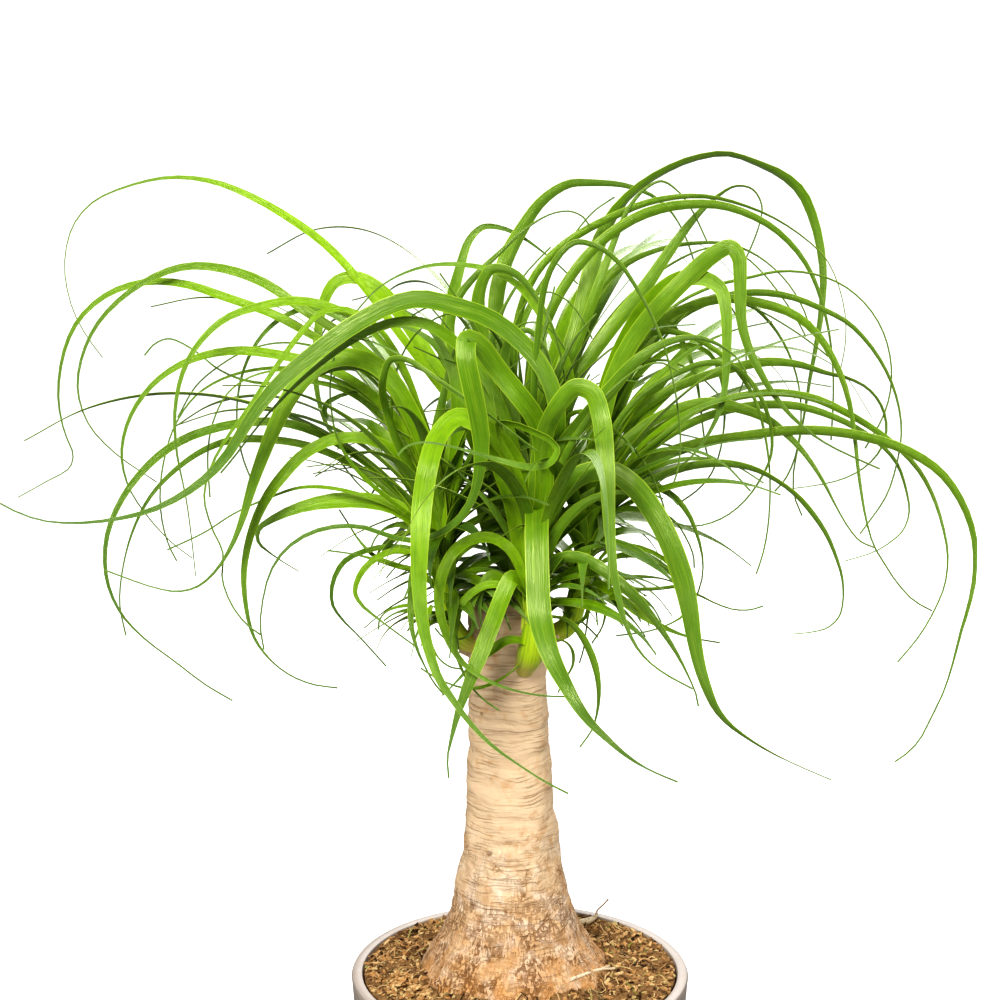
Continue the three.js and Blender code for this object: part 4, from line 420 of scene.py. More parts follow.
    ["back", 9, [-32, -14, -2, 4], [15, 10, 30], [4, 342, 12, 368, 18, 392, 24, 415, 33, 432]],
    ["back", 9, [-30, -12, 0, 4], [15, 15, 30], [-3, 330, -13, 352, -20, 372, -27, 389, -35, 400]],
    ["back", 9, [-30, -10, 2, 8], [15, 15, 30], [3, 330, 8, 350, 11, 368, 13, 390]],
    ["back", 8, [-28, -10, 4], [15, 10], [-1, 325, -8, 345, -12, 365, -14, 385, -10, 405]],
    ["front", 7.5, [36, 44, 46, 42, 38], [10, 15, 25, 35], [5, 324, 0.5, 342, -5, 370.5, -10.5, 387.5, -14,
     405, -16, 422, -19, 439, -23.5, 451, -29, 459, -36, 463.5, -44, 464, -52, 460]],
    ["front", 5, [36, 44, 46, 46], [10, 20, 35], [8, 322, 13.5, 344, 19, 357, 28, 367, 37.5, 372.5, 48,
     374.5, 58, 372, 65, 367, 72, 358.5]],
    ["front", 3.2, [36, 46, 50, 50], [20, 25, 30], [8, 341, 13.2, 371, 22, 393.5, 32, 410.5, 40.5, 421, 48.5,
     429, 57, 435, 67, 437.5, 76, 433]],
    ["left", 5.6, [15, 12, 8], [15, 20], [-37, 345, -41, 372, -41, 400, -37, 422, -33, 440, -26, 455, -17,
     462]],
]

# Leaves laid out by a seeded rule: shoot, count, range of compass directions in degrees, ranges of
# length, of the climb at the foot and of the droop at the tip, which of them are left out, and the
# row of the shoot's axis that they start from
FILL_STEPS = 7
FILL_DROOP_POWER = 1.25
FILL_SPREAD = 0.6
FILL_SWING = [-22, 22]
FILL_TURNS = [10, 20, 40]
FILL_SEED = 7
FILL_WIDTHS = (4.5, 8)
FILL_LIGHTEST = 0.9
FILLS = [
    ["back", 12, [48, 132], [190, 300], [48, 82], [15, 60], [], 3],
    ["left", 5, [115, 165], [170, 250], [48, 82], [15, 60], [1], 3],
    ["right", 5, [15, 65], [170, 250], [48, 82], [15, 60], [], 3],
    ["front", 4, [-118, -62], [150, 230], [48, 82], [15, 60], [1, 2], 3],
    ["back", 7, [190, 350], [70, 130], [74, 86], [-62, -20], [], 3],
    ["left", 5, [-80, 40], [60, 120], [76, 88], [-62, -30], [0], 3],
    ["right", 5, [140, 250], [60, 120], [76, 88], [-62, -30], [0, 1], 3],
    ["front", 6, [10, 170], [50, 100], [76, 88], [-62, -30], [1, 2], 3],
    ["front", 5, [-60, 20], [60, 115], [64, 80], [-50, -15], [3], 3],
    ["left", 7, [120, 300], [100, 180], [58, 84], [-30, 30], [6], 3],
    ["right", 7, [-120, 60], [100, 180], [58, 84], [-30, 30], [0], 3],
    ["back", 6, [200, 340], [110, 170], [76, 88], [-50, 0], [1], 3],
    ["front", 4, [-10, 190], [60, 90], [66, 86], [-50, -10], [], 3],
]

# Thin leaves deep in the crown, laid out by the same rule, with dark tones as painted shade
INNER_SEED = 19
INNER_WIDTHS = (4, 8)
INNER_SHADED_LIGHTEST = 0.45
INNER = [
    ["back", 16, [110, 260], [60, 125], [15, 60], [0, 55], [], 3],
    ["back", 16, [-70, 90], [60, 125], [20, 65], [0, 55], [], 3],
    ["back", 12, [0, 360], [70, 130], [55, 85], [-20, 30], [], 3],
    ["left", 18, [-60, 200], [60, 130], [35, 82], [-10, 55], [], 3],
    ["front", 14, [0, 180], [60, 125], [40, 82], [-20, 45], [], 3],
    ["right", 16, [-40, 250], [60, 130], [35, 82], [-10, 55], [], 3],
    ["left", 8, [110, 330], [35, 75], [0, 45], [35, 80], [], 3],
    ["right", 8, [-120, 70], [35, 75], [0, 45], [35, 80], [], 3],
    ["back", 14, [130, 240], [45, 95], [-5, 35], [25, 75], [], 2],
    ["back", 10, [-60, 50], [45, 90], [-5, 35], [25, 75], [], 2],
    ["left", 10, [-90, 60], [35, 80], [10, 70], [10, 75], [], 2],
    ["left", 9, [150, 330], [28, 60], [20, 60], [40, 90], [], 1],
    ["right", 8, [-130, 60], [28, 60], [25, 60], [40, 90], [], 1],
    ["right", 8, [110, 230], [35, 80], [10, 70], [10, 75], [], 2],
    ["front", 8, [-60, 70], [35, 80], [10, 60], [10, 70], [], 2],
]


class Slot(Enum):
    """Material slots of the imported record."""

    POT = "pot_plastic"
    SOIL = "soil"
    BARK = "bark"
    LEAF = "leaf"
    DRY = "dry_stalk"


class Side(Enum):
    """Which way a blade's level direction is found."""

    TO_VIEWPOINT = "face to the viewpoint"
    LEVEL = "level with the floor"


def sight_point(across: float, height: float, forward: float) -> np.ndarray:
    """Point on a line of sight through the trunk's plane.

    Args:
        across: Sideways place in the trunk's plane, in millimetres.
        height: Height in the trunk's plane.
        forward: Distance moved towards the viewpoint.

    Returns:
        The point in millimetres.
    """
    in_plane = np.array([across, 0.0, height])
    return EYE + (in_plane - EYE) * (1 - forward / -EYE[1])


def along(values: list[float], share: float) -> float:
    """Value of an evenly spaced list, eased between its entries.

    Args:
        values: The list.
        share: Share of its length.

    Returns:
        The value there.
    """
    place = share * (len(values) - 1)
    index = min(int(place), len(values) - 2)
    part = place - index
    ease = part * part * (3 - 2 * part)
    return values[index] + (values[index + 1] - values[index]) * ease


class Draws:
    """Repeatable numbers from 0 to 1, the same as those of the solids' rule."""

    def __init__(self, seed: int) -> None:
        """Starts the row of numbers."""
        self.state = seed

    def next(self) -> float:
        """The next number."""
        self.state = (self.state * DRAW_FACTOR + DRAW_STEP) % DRAW_RANGE
        return self.state / DRAW_RANGE

    def between(self, low: float, high: float) -> float:
        """The next number, between two limits."""
        return low + (high - low) * self.next()


def trunk_at(height: float) -> tuple[float, float]:
    """Form of the trunk at a height.

    Args:
        height: Height in millimetres.

    Returns:
        Radius and sideways shift in millimetres.
    """
    heights = [row[0] for row in TRUNK_PROFILE]
    radius = float(np.interp(height, heights, [row[1] for row in TRUNK_PROFILE]))
    shift = float(np.interp(height, heights, [row[2] for row in TRUNK_PROFILE]))
    return radius, shift


def soil_height(x: float, y: float) -> float:
    """Height of the soil's surface, mounded up towards the trunk.

    Args:
        x: Place to the right, in millimetres.
        y: Place away from the viewer.

    Returns:
        The height in millimetres.
    """
    reach = math.hypot(x, y)
    mound = SOIL_MOUND * max(0.0, 1 - (reach / POT_RIM_INNER_RADIUS) ** 2)
    lumps = math.sin(x * 0.31 + 1.3) * math.cos(y * 0.27 - 0.4) + 0.7 * math.sin(x * 0.13 - y * 0.45)
    return SOIL_EDGE_HEIGHT + mound + SOIL_LUMP * lumps * min(1.0, (1 - reach / SOIL_LUMPS_END) * 5)


def relief(x: float, y: float, z: float, size: float) -> float:
    """Smooth noise from -1 to 1 whose lumps are about that size in millimetres."""
    return noise.noise(Vector((x / size, y / size, z / size)))


class Bench:
    """Blender operators used as by hand."""

    @staticmethod
    def clear() -> None:
        """Deselects everything."""
        bpy.ops.object.select_all(action="DESELECT")

    @staticmethod
    def pick(piece: bpy.types.Object) -> None:
        """Makes one object the selected and active one.

        Args:
            piece: The object.
        """
        Bench.clear()
        piece.select_set(True)
        bpy.context.view_layer.objects.active = piece

    @staticmethod
    def apply(piece: bpy.types.Object, kind: str, **settings: object) -> None:
        """Adds a modifier and applies it.

        Args:
            piece: The object that gets it.
            kind: Kind of modifier.
            settings: Its settings.
        """
        Bench.pick(piece)
        modifier = piece.modifiers.new(kind.lower(), kind)
        for key, value in settings.items():
            setattr(modifier, key, value)
        bpy.ops.object.modifier_apply(modifier=modifier.name)

    @staticmethod
    def settle(piece: bpy.types.Object, name: str) -> bpy.types.Object:
        """Puts a piece's place into its mesh and names it.

        Args:
            piece: The piece.
            name: Its name.

        Returns:
            The piece.
        """
        Bench.pick(piece)
        bpy.ops.object.transform_apply(location=True, rotation=True, scale=True)
        piece.name = name
        piece.data.name = name
        return piece

    @staticmethod
    def smooth(piece: bpy.types.Object, degrees: float) -> None:
        """Shades a piece smooth, with edges kept sharp above an angle."""
        Bench.pick(piece)
        bpy.ops.object.shade_smooth_by_angle(angle=math.radians(degrees))

    @staticmethod
    def rings(name: str, sides: int, profile: list[tuple[float, float, float]]) -> bpy.types.Object:
        """A closed form extruded ring by ring from a disc.

        Args:
            name: Name of the piece.
            sides: Corners of each ring.
            profile: Radius, height and sideways shift of each ring, in millimetres.

        Returns:
            The piece, with its place in its mesh.
        """
        Bench.clear()
        radius, height, shift = profile[0]
        bpy.ops.mesh.primitive_circle_add(
            vertices=sides, radius=radius * MM, fill_type="NGON", location=(shift * MM, 0, height * MM)
        )
        piece = Bench.settle(bpy.context.active_object, name)
        bpy.ops.object.mode_set(mode="EDIT")
        bpy.ops.mesh.select_all(action="SELECT")
        for next_radius, next_height, next_shift in profile[1:]:
            move = ((next_shift - shift) * MM, 0, (next_height - height) * MM)
            bpy.ops.mesh.extrude_region_move(TRANSFORM_OT_translate={"value": move})
            grow = next_radius / radius
            bpy.ops.transform.resize(
                value=(grow, grow, 1), center_override=(next_shift * MM, 0, next_height * MM)
            )
            radius, height, shift = next_radius, next_height, next_shift
        bpy.ops.mesh.select_all(action="SELECT")
        bpy.ops.mesh.normals_make_consistent(inside=False)
        bpy.ops.object.mode_set(mode="OBJECT")
        return piece

    @staticmethod
    def join(pieces: list[bpy.types.Object], name: str) -> bpy.types.Object:
        """Joins copies into one piece.

        Args:
            pieces: The copies.
            name: Name of the piece.

        Returns:
            The piece.
        """
        Bench.pick(pieces[0])
        for piece in pieces:
            piece.select_set(True)
        bpy.ops.object.join()
        joined = bpy.context.active_object
        joined.name = name
        joined.data.name = name
        return joined

    @staticmethod
    def copy(master: bpy.types.Object) -> bpy.types.Object:
        """A copy of a modelled piece.

        Args:
            master: The modelled piece.

        Returns:
            The copy, with its own mesh.
        """
        twin = master.copy()
        twin.data = master.data.copy()
        bpy.context.scene.collection.objects.link(twin)
        return twin

    @staticmethod
    def corners(piece: bpy.types.Object) -> np.ndarray:
        """The corners of a mesh.

        Args:
            piece: The piece.

        Returns:
            Their places, one in each row.
        """
        flat = np.empty(len(piece.data.vertices) * 3)
        piece.data.vertices.foreach_get("co", flat)
        return flat.reshape(-1, 3)

    @staticmethod
    def place_corners(piece: bpy.types.Object, places: np.ndarray) -> None:
        """Moves every corner of a mesh."""
        piece.data.vertices.foreach_set("co", places.astype(np.float32).ravel())
        piece.data.update()

    @staticmethod
    def paint(piece: bpy.types.Object, name: str, rows: np.ndarray) -> None:
        """Keeps a row of four numbers for each corner, for the finishes to read."""
        layer = piece.data.attributes.new(name, "FLOAT_COLOR", "POINT")
        layer.data.foreach_set("color", rows.astype(np.float32).ravel())


@dataclass
class Path:
    """Stations along a smooth curve through points, closer together where it bends."""

    points: np.ndarray
    count: int
    lead: float = 0.0
    places: np.ndarray = field(init=False)
    headings: np.ndarray = field(init=False)
    shares: np.ndarray = field(init=False)
    grown: np.ndarray = field(init=False)
    length: float = field(init=False)

    def __post_init__(self) -> None:
        """Samples the curve.

        Each station is as far from the next by length and turn together, so bends get more of them.
        """
        dots = self.curve()
        steps = np.diff(dots, axis=0)
        spans = np.linalg.norm(steps, axis=1)
        units = steps / spans[:, None]
        turns = np.arccos(np.clip((units[1:] * units[:-1]).sum(1), -1, 1))
        cost = np.concatenate([[0], np.cumsum(spans + BLADE_BEND_COST * np.concatenate([[0], turns]))])
        reach = np.concatenate([[0], np.cumsum(spans)])
        wanted = np.linspace(0, cost[-1], self.count + 1)
        self.places = np.stack([np.interp(wanted, cost, dots[:, k]) for k in range(3)], 1)
        ahead = np.vstack([units, units[-1:]])
        ahead[1:-1] += units[:-1]
        headings = np.stack([np.interp(wanted, cost, ahead[:, k]) for k in range(3)], 1)
        self.headings = headings / np.linalg.norm(headings, axis=1)[:, None]
        self.length = float(reach[-1])
        self.shares = np.interp(wanted, cost, reach) / self.length
        past_lead = self.shares * self.length - self.lead
        self.grown = np.clip(past_lead / (self.length - self.lead), 0, 1)

    def curve(self) -> np.ndarray:
        """Points of the centripetal curve.

        Returns:
            The points, one in each row.
        """
        given = self.points
        padded = np.vstack([2 * given[0] - given[1], given, 2 * given[-1] - given[-2]])
        dots = []
        for n in range(len(given) - 1):
            p0, p1, p2, p3 = padded[n : n + 4]
            gaps = (p1 - p0, p2 - p1, p3 - p2)
            d0, d1, d2 = (max(math.sqrt(np.linalg.norm(gap)), 1e-4) for gap in gaps)
            t1 = ((p1 - p0) / d0 - (p2 - p0) / (d0 + d1) + (p2 - p1) / d1) * d1
            t2 = ((p2 - p1) / d1 - (p3 - p1) / (d1 + d2) + (p3 - p2) / d2) * d1
            for k in range(CURVE_DOTS):
                u = k / CURVE_DOTS
                dots.append(
                    p1 + t1 * u + (-3 * p1 + 3 * p2 - 2 * t1 - t2) * u * u
                    + (2 * p1 - 2 * p2 + t1 + t2) * u * u * u
                )
        dots.append(given[-1])
        return np.array(dots)

    def sides(self, turns: list[float], side: Side) -> np.ndarray:
        """Sideways direction of the blade at each station.

        Args:
            turns: Turn of the blade about its heading in degrees, along the leaf.
            side: Which way the unturned blade lies.

        Returns:
            Unit directions, one in each row.
        """
        found = []
        sure = []
        for place, heading, share in zip(self.places, self.headings, self.grown):
            look = np.array([0.0, 0.0, 1.0]) if side is Side.LEVEL else EYE - place
            flat = np.cross(heading, look / np.linalg.norm(look))
            size = np.linalg.norm(flat)
            flat = flat / max(size, 1e-9)
            turn = math.radians(along(turns, share))
            found.append(flat * math.cos(turn) + np.cross(heading, flat) * math.sin(turn))
            sure.append(size > BLADE_SURE_TURN)
        last = sure.index(True) if True in sure else 0
        for n in range(len(found)):
            if sure[n] or True not in sure:
                if found[n] @ found[last] < 0:
                    found[n] = -found[n]
                last = n
            else:
                later = next((k for k in range(n + 1, len(found)) if sure[k]), None)
                if later is None or last > n:
                    found[n] = found[last].copy()
                else:
                    end = found[later] if found[later] @ found[last] >= 0 else -found[later]
                    part = (n - last) / (later - last)
                    found[n] = found[last] * (1 - part) + end * part
            found[n] = found[n] - self.headings[n] * (found[n] @ self.headings[n])
            found[n] = found[n] / np.linalg.norm(found[n])
        return np.array(found)


@dataclass(frozen=True)
class Leaf:
    """One leaf: its shoot, width in millimetres, points, turns and tone."""

    shoot: str
    width: float
    points: np.ndarray
    turns: list[float]
    side: Side
    tone: float

    def half_width(self, share: float) -> float:
        """Half of the blade's width.

        Args:
            share: Share of the blade's length.

        Returns:
            The half width in millimetres.
        """
        opening = min(1.0, share / BLADE_OPENING_SHARE)
        base = BLADE_BASE_SHARE + (1 - BLADE_BASE_SHARE) * opening * (2 - opening)
        past = max(0.0, (share - BLADE_TAPER_FROM) / (1 - BLADE_TAPER_FROM))
        return max(BLADE_MIN_WIDTH, self.width * base * (1 - past) ** BLADE_TAPER_POWER) / 2


class LeafList:
    """Every leaf of the plant, traced ones first."""

    @staticmethod
    def traced(row: list) -> np.ndarray:
        """Points of a traced leaf.

        Args:
            row: Its row of the list of leaves.

        Returns:
            Its points in millimetres.
        """
        path = np.array(row[4], float).reshape(-1, 2)
        reach = np.concatenate([[0], np.cumsum(np.linalg.norm(np.diff(path, axis=0), axis=1))])
        shares = reach / reach[-1]
        return np.array([sight_point(x, h, along(row[2], s)) for (x, h), s in zip(path, shares)])

    @staticmethod
    def filled(start: np.ndarray, heading: float, shape: list[float]) -> np.ndarray:
        """Points of a leaf of the seeded rule.

        Args:
            start: Where it leaves its shoot.
            heading: Compass direction in degrees.
            shape: Climb at the foot, length, droop at the tip and sideways swing.

        Returns:
            Its points in millimetres.
        """
        climb, length, droop, swing = shape
        points = [start]
        for n in range(FILL_STEPS):
            share = (n + 0.5) / FILL_STEPS
            slope = math.radians(climb - (climb + droop) * share**FILL_DROOP_POWER)
            compass = math.radians(heading + swing * share)
            step = [math.cos(slope) * math.cos(compass), math.cos(slope) * math.sin(compass), math.sin(slope)]
            points.append(points[-1] + np.array(step) * length / FILL_STEPS)
        return np.array(points)

    @staticmethod
    def seeded(
        rows: list, seed: int, widths: tuple[float, float], tones: Draws, lightest: float
    ) -> list[Leaf]:
        """Leaves of the seeded rule.

        Args:
            rows: Rows of FILLS or INNER.
            seed: Start of the row of numbers.
            widths: Narrowest and broadest blade.
            tones: Numbers for the tones.
            lightest: Highest tone, where 1 is the brightest.

        Returns:
            The leaves.
        """
        draws = Draws(seed)
        leaves = []
        for shoot, count, compass, lengths, climbs, droops, left_out, foot in rows:
            axis = [sight_point(*row[:3]) for row in SHOOTS[shoot]]
            for n in range(count):
                seven = [draws.next() for _ in range(7)]
                start = axis[foot] + (axis[foot + 1] - axis[foot]) * seven[0] * FILL_SPREAD
                heading = compass[0] + (compass[1] - compass[0]) * (n + seven[1]) / count
                limits = ((climbs, seven[2]), (lengths, seven[3]), (droops, seven[4]), (FILL_SWING, seven[5]))
                shape = [pair[0] + (pair[1] - pair[0]) * draw for pair, draw in limits]
                if n not in left_out:
                    width = widths[0] + (widths[1] - widths[0]) * seven[6]
                    points = LeafList.filled(start, heading, shape)
                    tone = tones.next() * lightest
                    leaves.append(Leaf(shoot, width, points, FILL_TURNS, Side.LEVEL, tone))
        return leaves

    @staticmethod
    def build() -> list[Leaf]:
        """Lists every leaf, in the same places as the solids, and then the inner ones.

        Returns:
            The leaves.
        """
        tones = Draws(TONE_SEED)
        leaves = []
        for row in LEAVES:
            darkest, lightest = SHOOT_LIGHT_AND_SHADE_TONES[row[0]]
            tone = darkest + (lightest - darkest) * tones.next()
            leaves.append(Leaf(row[0], row[1], LeafList.traced(row), row[3], Side.TO_VIEWPOINT, tone))
        leaves += LeafList.seeded(FILLS, FILL_SEED, FILL_WIDTHS, tones, FILL_LIGHTEST)
        return leaves + LeafList.seeded(INNER, INNER_SEED, INNER_WIDTHS, tones, INNER_SHADED_LIGHTEST)


@dataclass(frozen=True)
class Marks:
    """Settings of the shared streaks, and how strongly they colour a surface."""

    stretch: tuple[float, float, float]
    size: float
    low: float
    high: float
    strength: float = 1.0


@dataclass(frozen=True)
class Patch:
    """Settings of soft patches: scale and detail of their noise, and what its range becomes."""

    scale: float
    detail: float
    low: float
    high: float
    to_low: float = 0.0
    to_high: float = 1.0


class Painter:
    """Adds nodes to a material or a group and wires them."""

    def __init__(self, tree: bpy.types.NodeTree) -> None:
        """Keeps the tree that the nodes go into."""
        self.tree = tree

    def feed(self, value: object, socket: bpy.types.NodeSocket) -> None:
        """Links a socket, or sets its value.

        Args:
            value: The socket to link from, or the value.
            socket: The input that gets it.
        """
        if isinstance(value, bpy.types.NodeSocket):
            self.tree.links.new(value, socket)
        else:
            socket.default_value = value

    def add(self, kind: str, values: dict | None = None, **settings: object) -> bpy.types.Node:
        """Adds one node.

        Args:
            kind: Kind of node.
            values: What its inputs get, by name or number.
            settings: Its settings.

        Returns:
            The node.
        """
        node = self.tree.nodes.new(kind)
        for key, value in settings.items():
            setattr(node, key, value)
        for place, value in (values or {}).items():
            self.feed(value, node.inputs[place])
        return node

    def math(self, operation: str, *values: object) -> object:
        """A sum, product or other function of values."""
        return self.add("ShaderNodeMath", dict(enumerate(values)), operation=operation).outputs[0]

    def span(
        self, value: object, low: float, high: float, to_low: float = 0.0, to_high: float = 1.0
    ) -> object:
        """A value moved from one range to another, and kept inside it."""
        values = dict(enumerate((value, low, high, to_low, to_high)))
        return self.add("ShaderNodeMapRange", values).outputs[0]

    def ramp(self, value: object, stops: list[tuple[float, Colour]]) -> object:
        """A colour for each stretch of a value.

        Args:
            value: The value, from 0 to 1.
            stops: Places and colours, lowest first.

        Returns:
            The colour.
        """
        node = self.add("ShaderNodeValToRGB", {0: value})
        while len(node.color_ramp.elements) < len(stops):
            node.color_ramp.elements.new(0.5)
        for element, (place, colour) in zip(node.color_ramp.elements, stops):
            element.position = place
            element.color = colour
        return node.outputs[0]

    def mix(self, share: object, first: object, second: object) -> object:
        """Two colours mixed."""
        return self.add("ShaderNodeMix", {0: share, 6: first, 7: second}, data_type="RGBA").outputs[2]

    def stretched(self, vector: object, scale: tuple[float, float, float]) -> object:
        """A place scaled differently along each axis."""
        return self.add("ShaderNodeMapping", {"Vector": vector, "Scale": scale}).outputs[0]

    def noise(self, vector: object, scale: object, detail: float) -> object:
        """Fractal noise from 0 to 1."""
        return self.add("ShaderNodeTexNoise", {"Vector": vector, "Scale": scale, "Detail": detail}).outputs[0]

    def patchy(self, vector: object, patch: Patch) -> object:
        """A value that comes and goes in soft patches."""
        tone = self.noise(vector, patch.scale, patch.detail)
        return self.span(tone, patch.low, patch.high, patch.to_low, patch.to_high)

    def shaken(self, vector: object, scale: float, reach: tuple[float, float, float]) -> object:
        """A place moved a little by noise."""
        values = {0: self.noise(vector, scale, 2.0), 1: reach, 2: vector}
        return self.add("ShaderNodeVectorMath", values, operation="MULTIPLY_ADD").outputs[0]

    def cells(self, vector: object, scale: float, feature: str = "F1") -> object:
        """Distance within scattered cells."""
        node = self.add("ShaderNodeTexVoronoi", {"Vector": vector, "Scale": scale}, feature=feature)
        return node.outputs["Distance"]

    def place(self) -> object:
        """The place on the object."""
        return self.add("ShaderNodeTexCoord").outputs["Object"]

    def parts(self, vector: object) -> list[object]:
        """The three parts of a place."""
        return list(self.add("ShaderNodeSeparateXYZ", {0: vector}).outputs)

    def painted(self, name: str) -> list[object]:
        """The three numbers that a mesh keeps under a name."""
        kept = self.add("ShaderNodeAttribute", attribute_name=name).outputs["Color"]
        return list(self.add("ShaderNodeSeparateColor", {0: kept}).outputs)

    def group(self, tree: bpy.types.NodeTree, **values: object) -> bpy.types.Node:
        """Places a shared effect with its own values."""
        return self.add("ShaderNodeGroup", values, node_tree=tree)

    def marked(self, tree: bpy.types.NodeTree, place: object, marks: Marks) -> bpy.types.Node:
        """Places the shared streaks with a finish's settings."""
        limits = {"From": marks.low, "To": marks.high}
        return self.group(tree, Place=place, Stretch=marks.stretch, Size=marks.size, **limits)

    def stained(self, colour: object, node: bpy.types.Node, marks: Marks, stain: Colour) -> object:
        """A colour with a stain on it where the streaks' mask is."""
        return self.mix(self.math("MULTIPLY", node.outputs["Mask"], marks.strength), colour, stain)


class Effects:
    """Shared effects, each a node group that is built once."""

    @staticmethod
    def start(name: str, inputs: list[tuple[str, str, object]], outputs: list[str]) -> tuple:
        """Makes an empty group.

        Args:
            name: Name of the effect.
            inputs: Name, type and value of each input.
            outputs: Name of each output value.

        Returns:
            The group, its painter, its input sockets by name and its output node.
        """
        tree = bpy.data.node_groups.new(name, "ShaderNodeTree")
        for label, kind, value in inputs:
            socket = tree.interface.new_socket(name=label, in_out="INPUT", socket_type="NodeSocket" + kind)
            if value is not None:
                socket.default_value = value
        for label in outputs:
            tree.interface.new_socket(name=label, in_out="OUTPUT", socket_type="NodeSocketFloat")
        painter = Painter(tree)
        given = painter.add("NodeGroupInput").outputs
        return tree, painter, given, painter.add("NodeGroupOutput")

    @staticmethod
    def streaks() -> bpy.types.NodeTree:
        """Thin marks from stretched noise: a mask where the noise passes a limit, and the noise itself.

        Returns:
            The group.
        """
        inputs = [("Place", "Vector", None), ("Stretch", "Vector", (1.0, 1.0, 1.0))]
        inputs += [("Size", "Float", 10.0), ("From", "Float", 0.4), ("To", "Float", 0.6)]
        tree, painter, given, out = Effects.start("streaks", inputs, ["Mask", "Tone"])
        sides = {0: given["Place"], 1: given["Stretch"]}
        scaled = painter.add("ShaderNodeVectorMath", sides, operation="MULTIPLY").outputs[0]
        tone = painter.noise(scaled, given["Size"], 4.0)
        limits = {0: tone, 1: given["From"], 2: given["To"]}
        mask = painter.add("ShaderNodeMapRange", limits, interpolation_type="SMOOTHSTEP").outputs[0]
        painter.feed(mask, out.inputs["Mask"])
        painter.feed(tone, out.inputs["Tone"])
        return tree

    @staticmethod
    def mottle() -> bpy.types.NodeTree:
        """Two sizes of soft blotches mixed into one value.

        Returns:
            The group.
        """
        inputs = [("Place", "Vector", None), ("Coarse", "Float", 40.0), ("Fine", "Float", 300.0)]
        tree, painter, given, out = Effects.start("mottle", inputs, ["Tone"])
        both = [painter.noise(given["Place"], given[name], 3.0) for name in ("Coarse", "Fine")]
        painter.feed(painter.math("MULTIPLY", painter.math("ADD", *both), 0.5), out.inputs["Tone"])
        return tree


@dataclass(frozen=True)
class Finish:
    """What every finish shares: a shader with a roughness, a gloss and a relief."""

    name: str
    roughness: float
    gloss: float
    relief_depth: float
    relief_strength: float

    def start(self) -> tuple[bpy.types.Material, Painter, bpy.types.Node]:
        """Makes the material with its plain shader.

        Returns:
            The material, the painter of its nodes and the shader.
        """
        material = bpy.data.materials.new(self.name)
        material.use_nodes = True
        shader = material.node_tree.nodes["Principled BSDF"]
        shader.inputs["Roughness"].default_value = self.roughness
        shader.inputs["Specular IOR Level"].default_value = self.gloss
        return material, Painter(material.node_tree), shader

    def raise_relief(self, painter: Painter, shader: bpy.types.Node, height: object) -> None:
        """Turns a height into the shader's normal."""
        values = {"Strength": self.relief_strength, "Distance": self.relief_depth, "Height": height}
        painter.feed(painter.add("ShaderNodeBump", values).outputs[0], shader.inputs["Normal"])


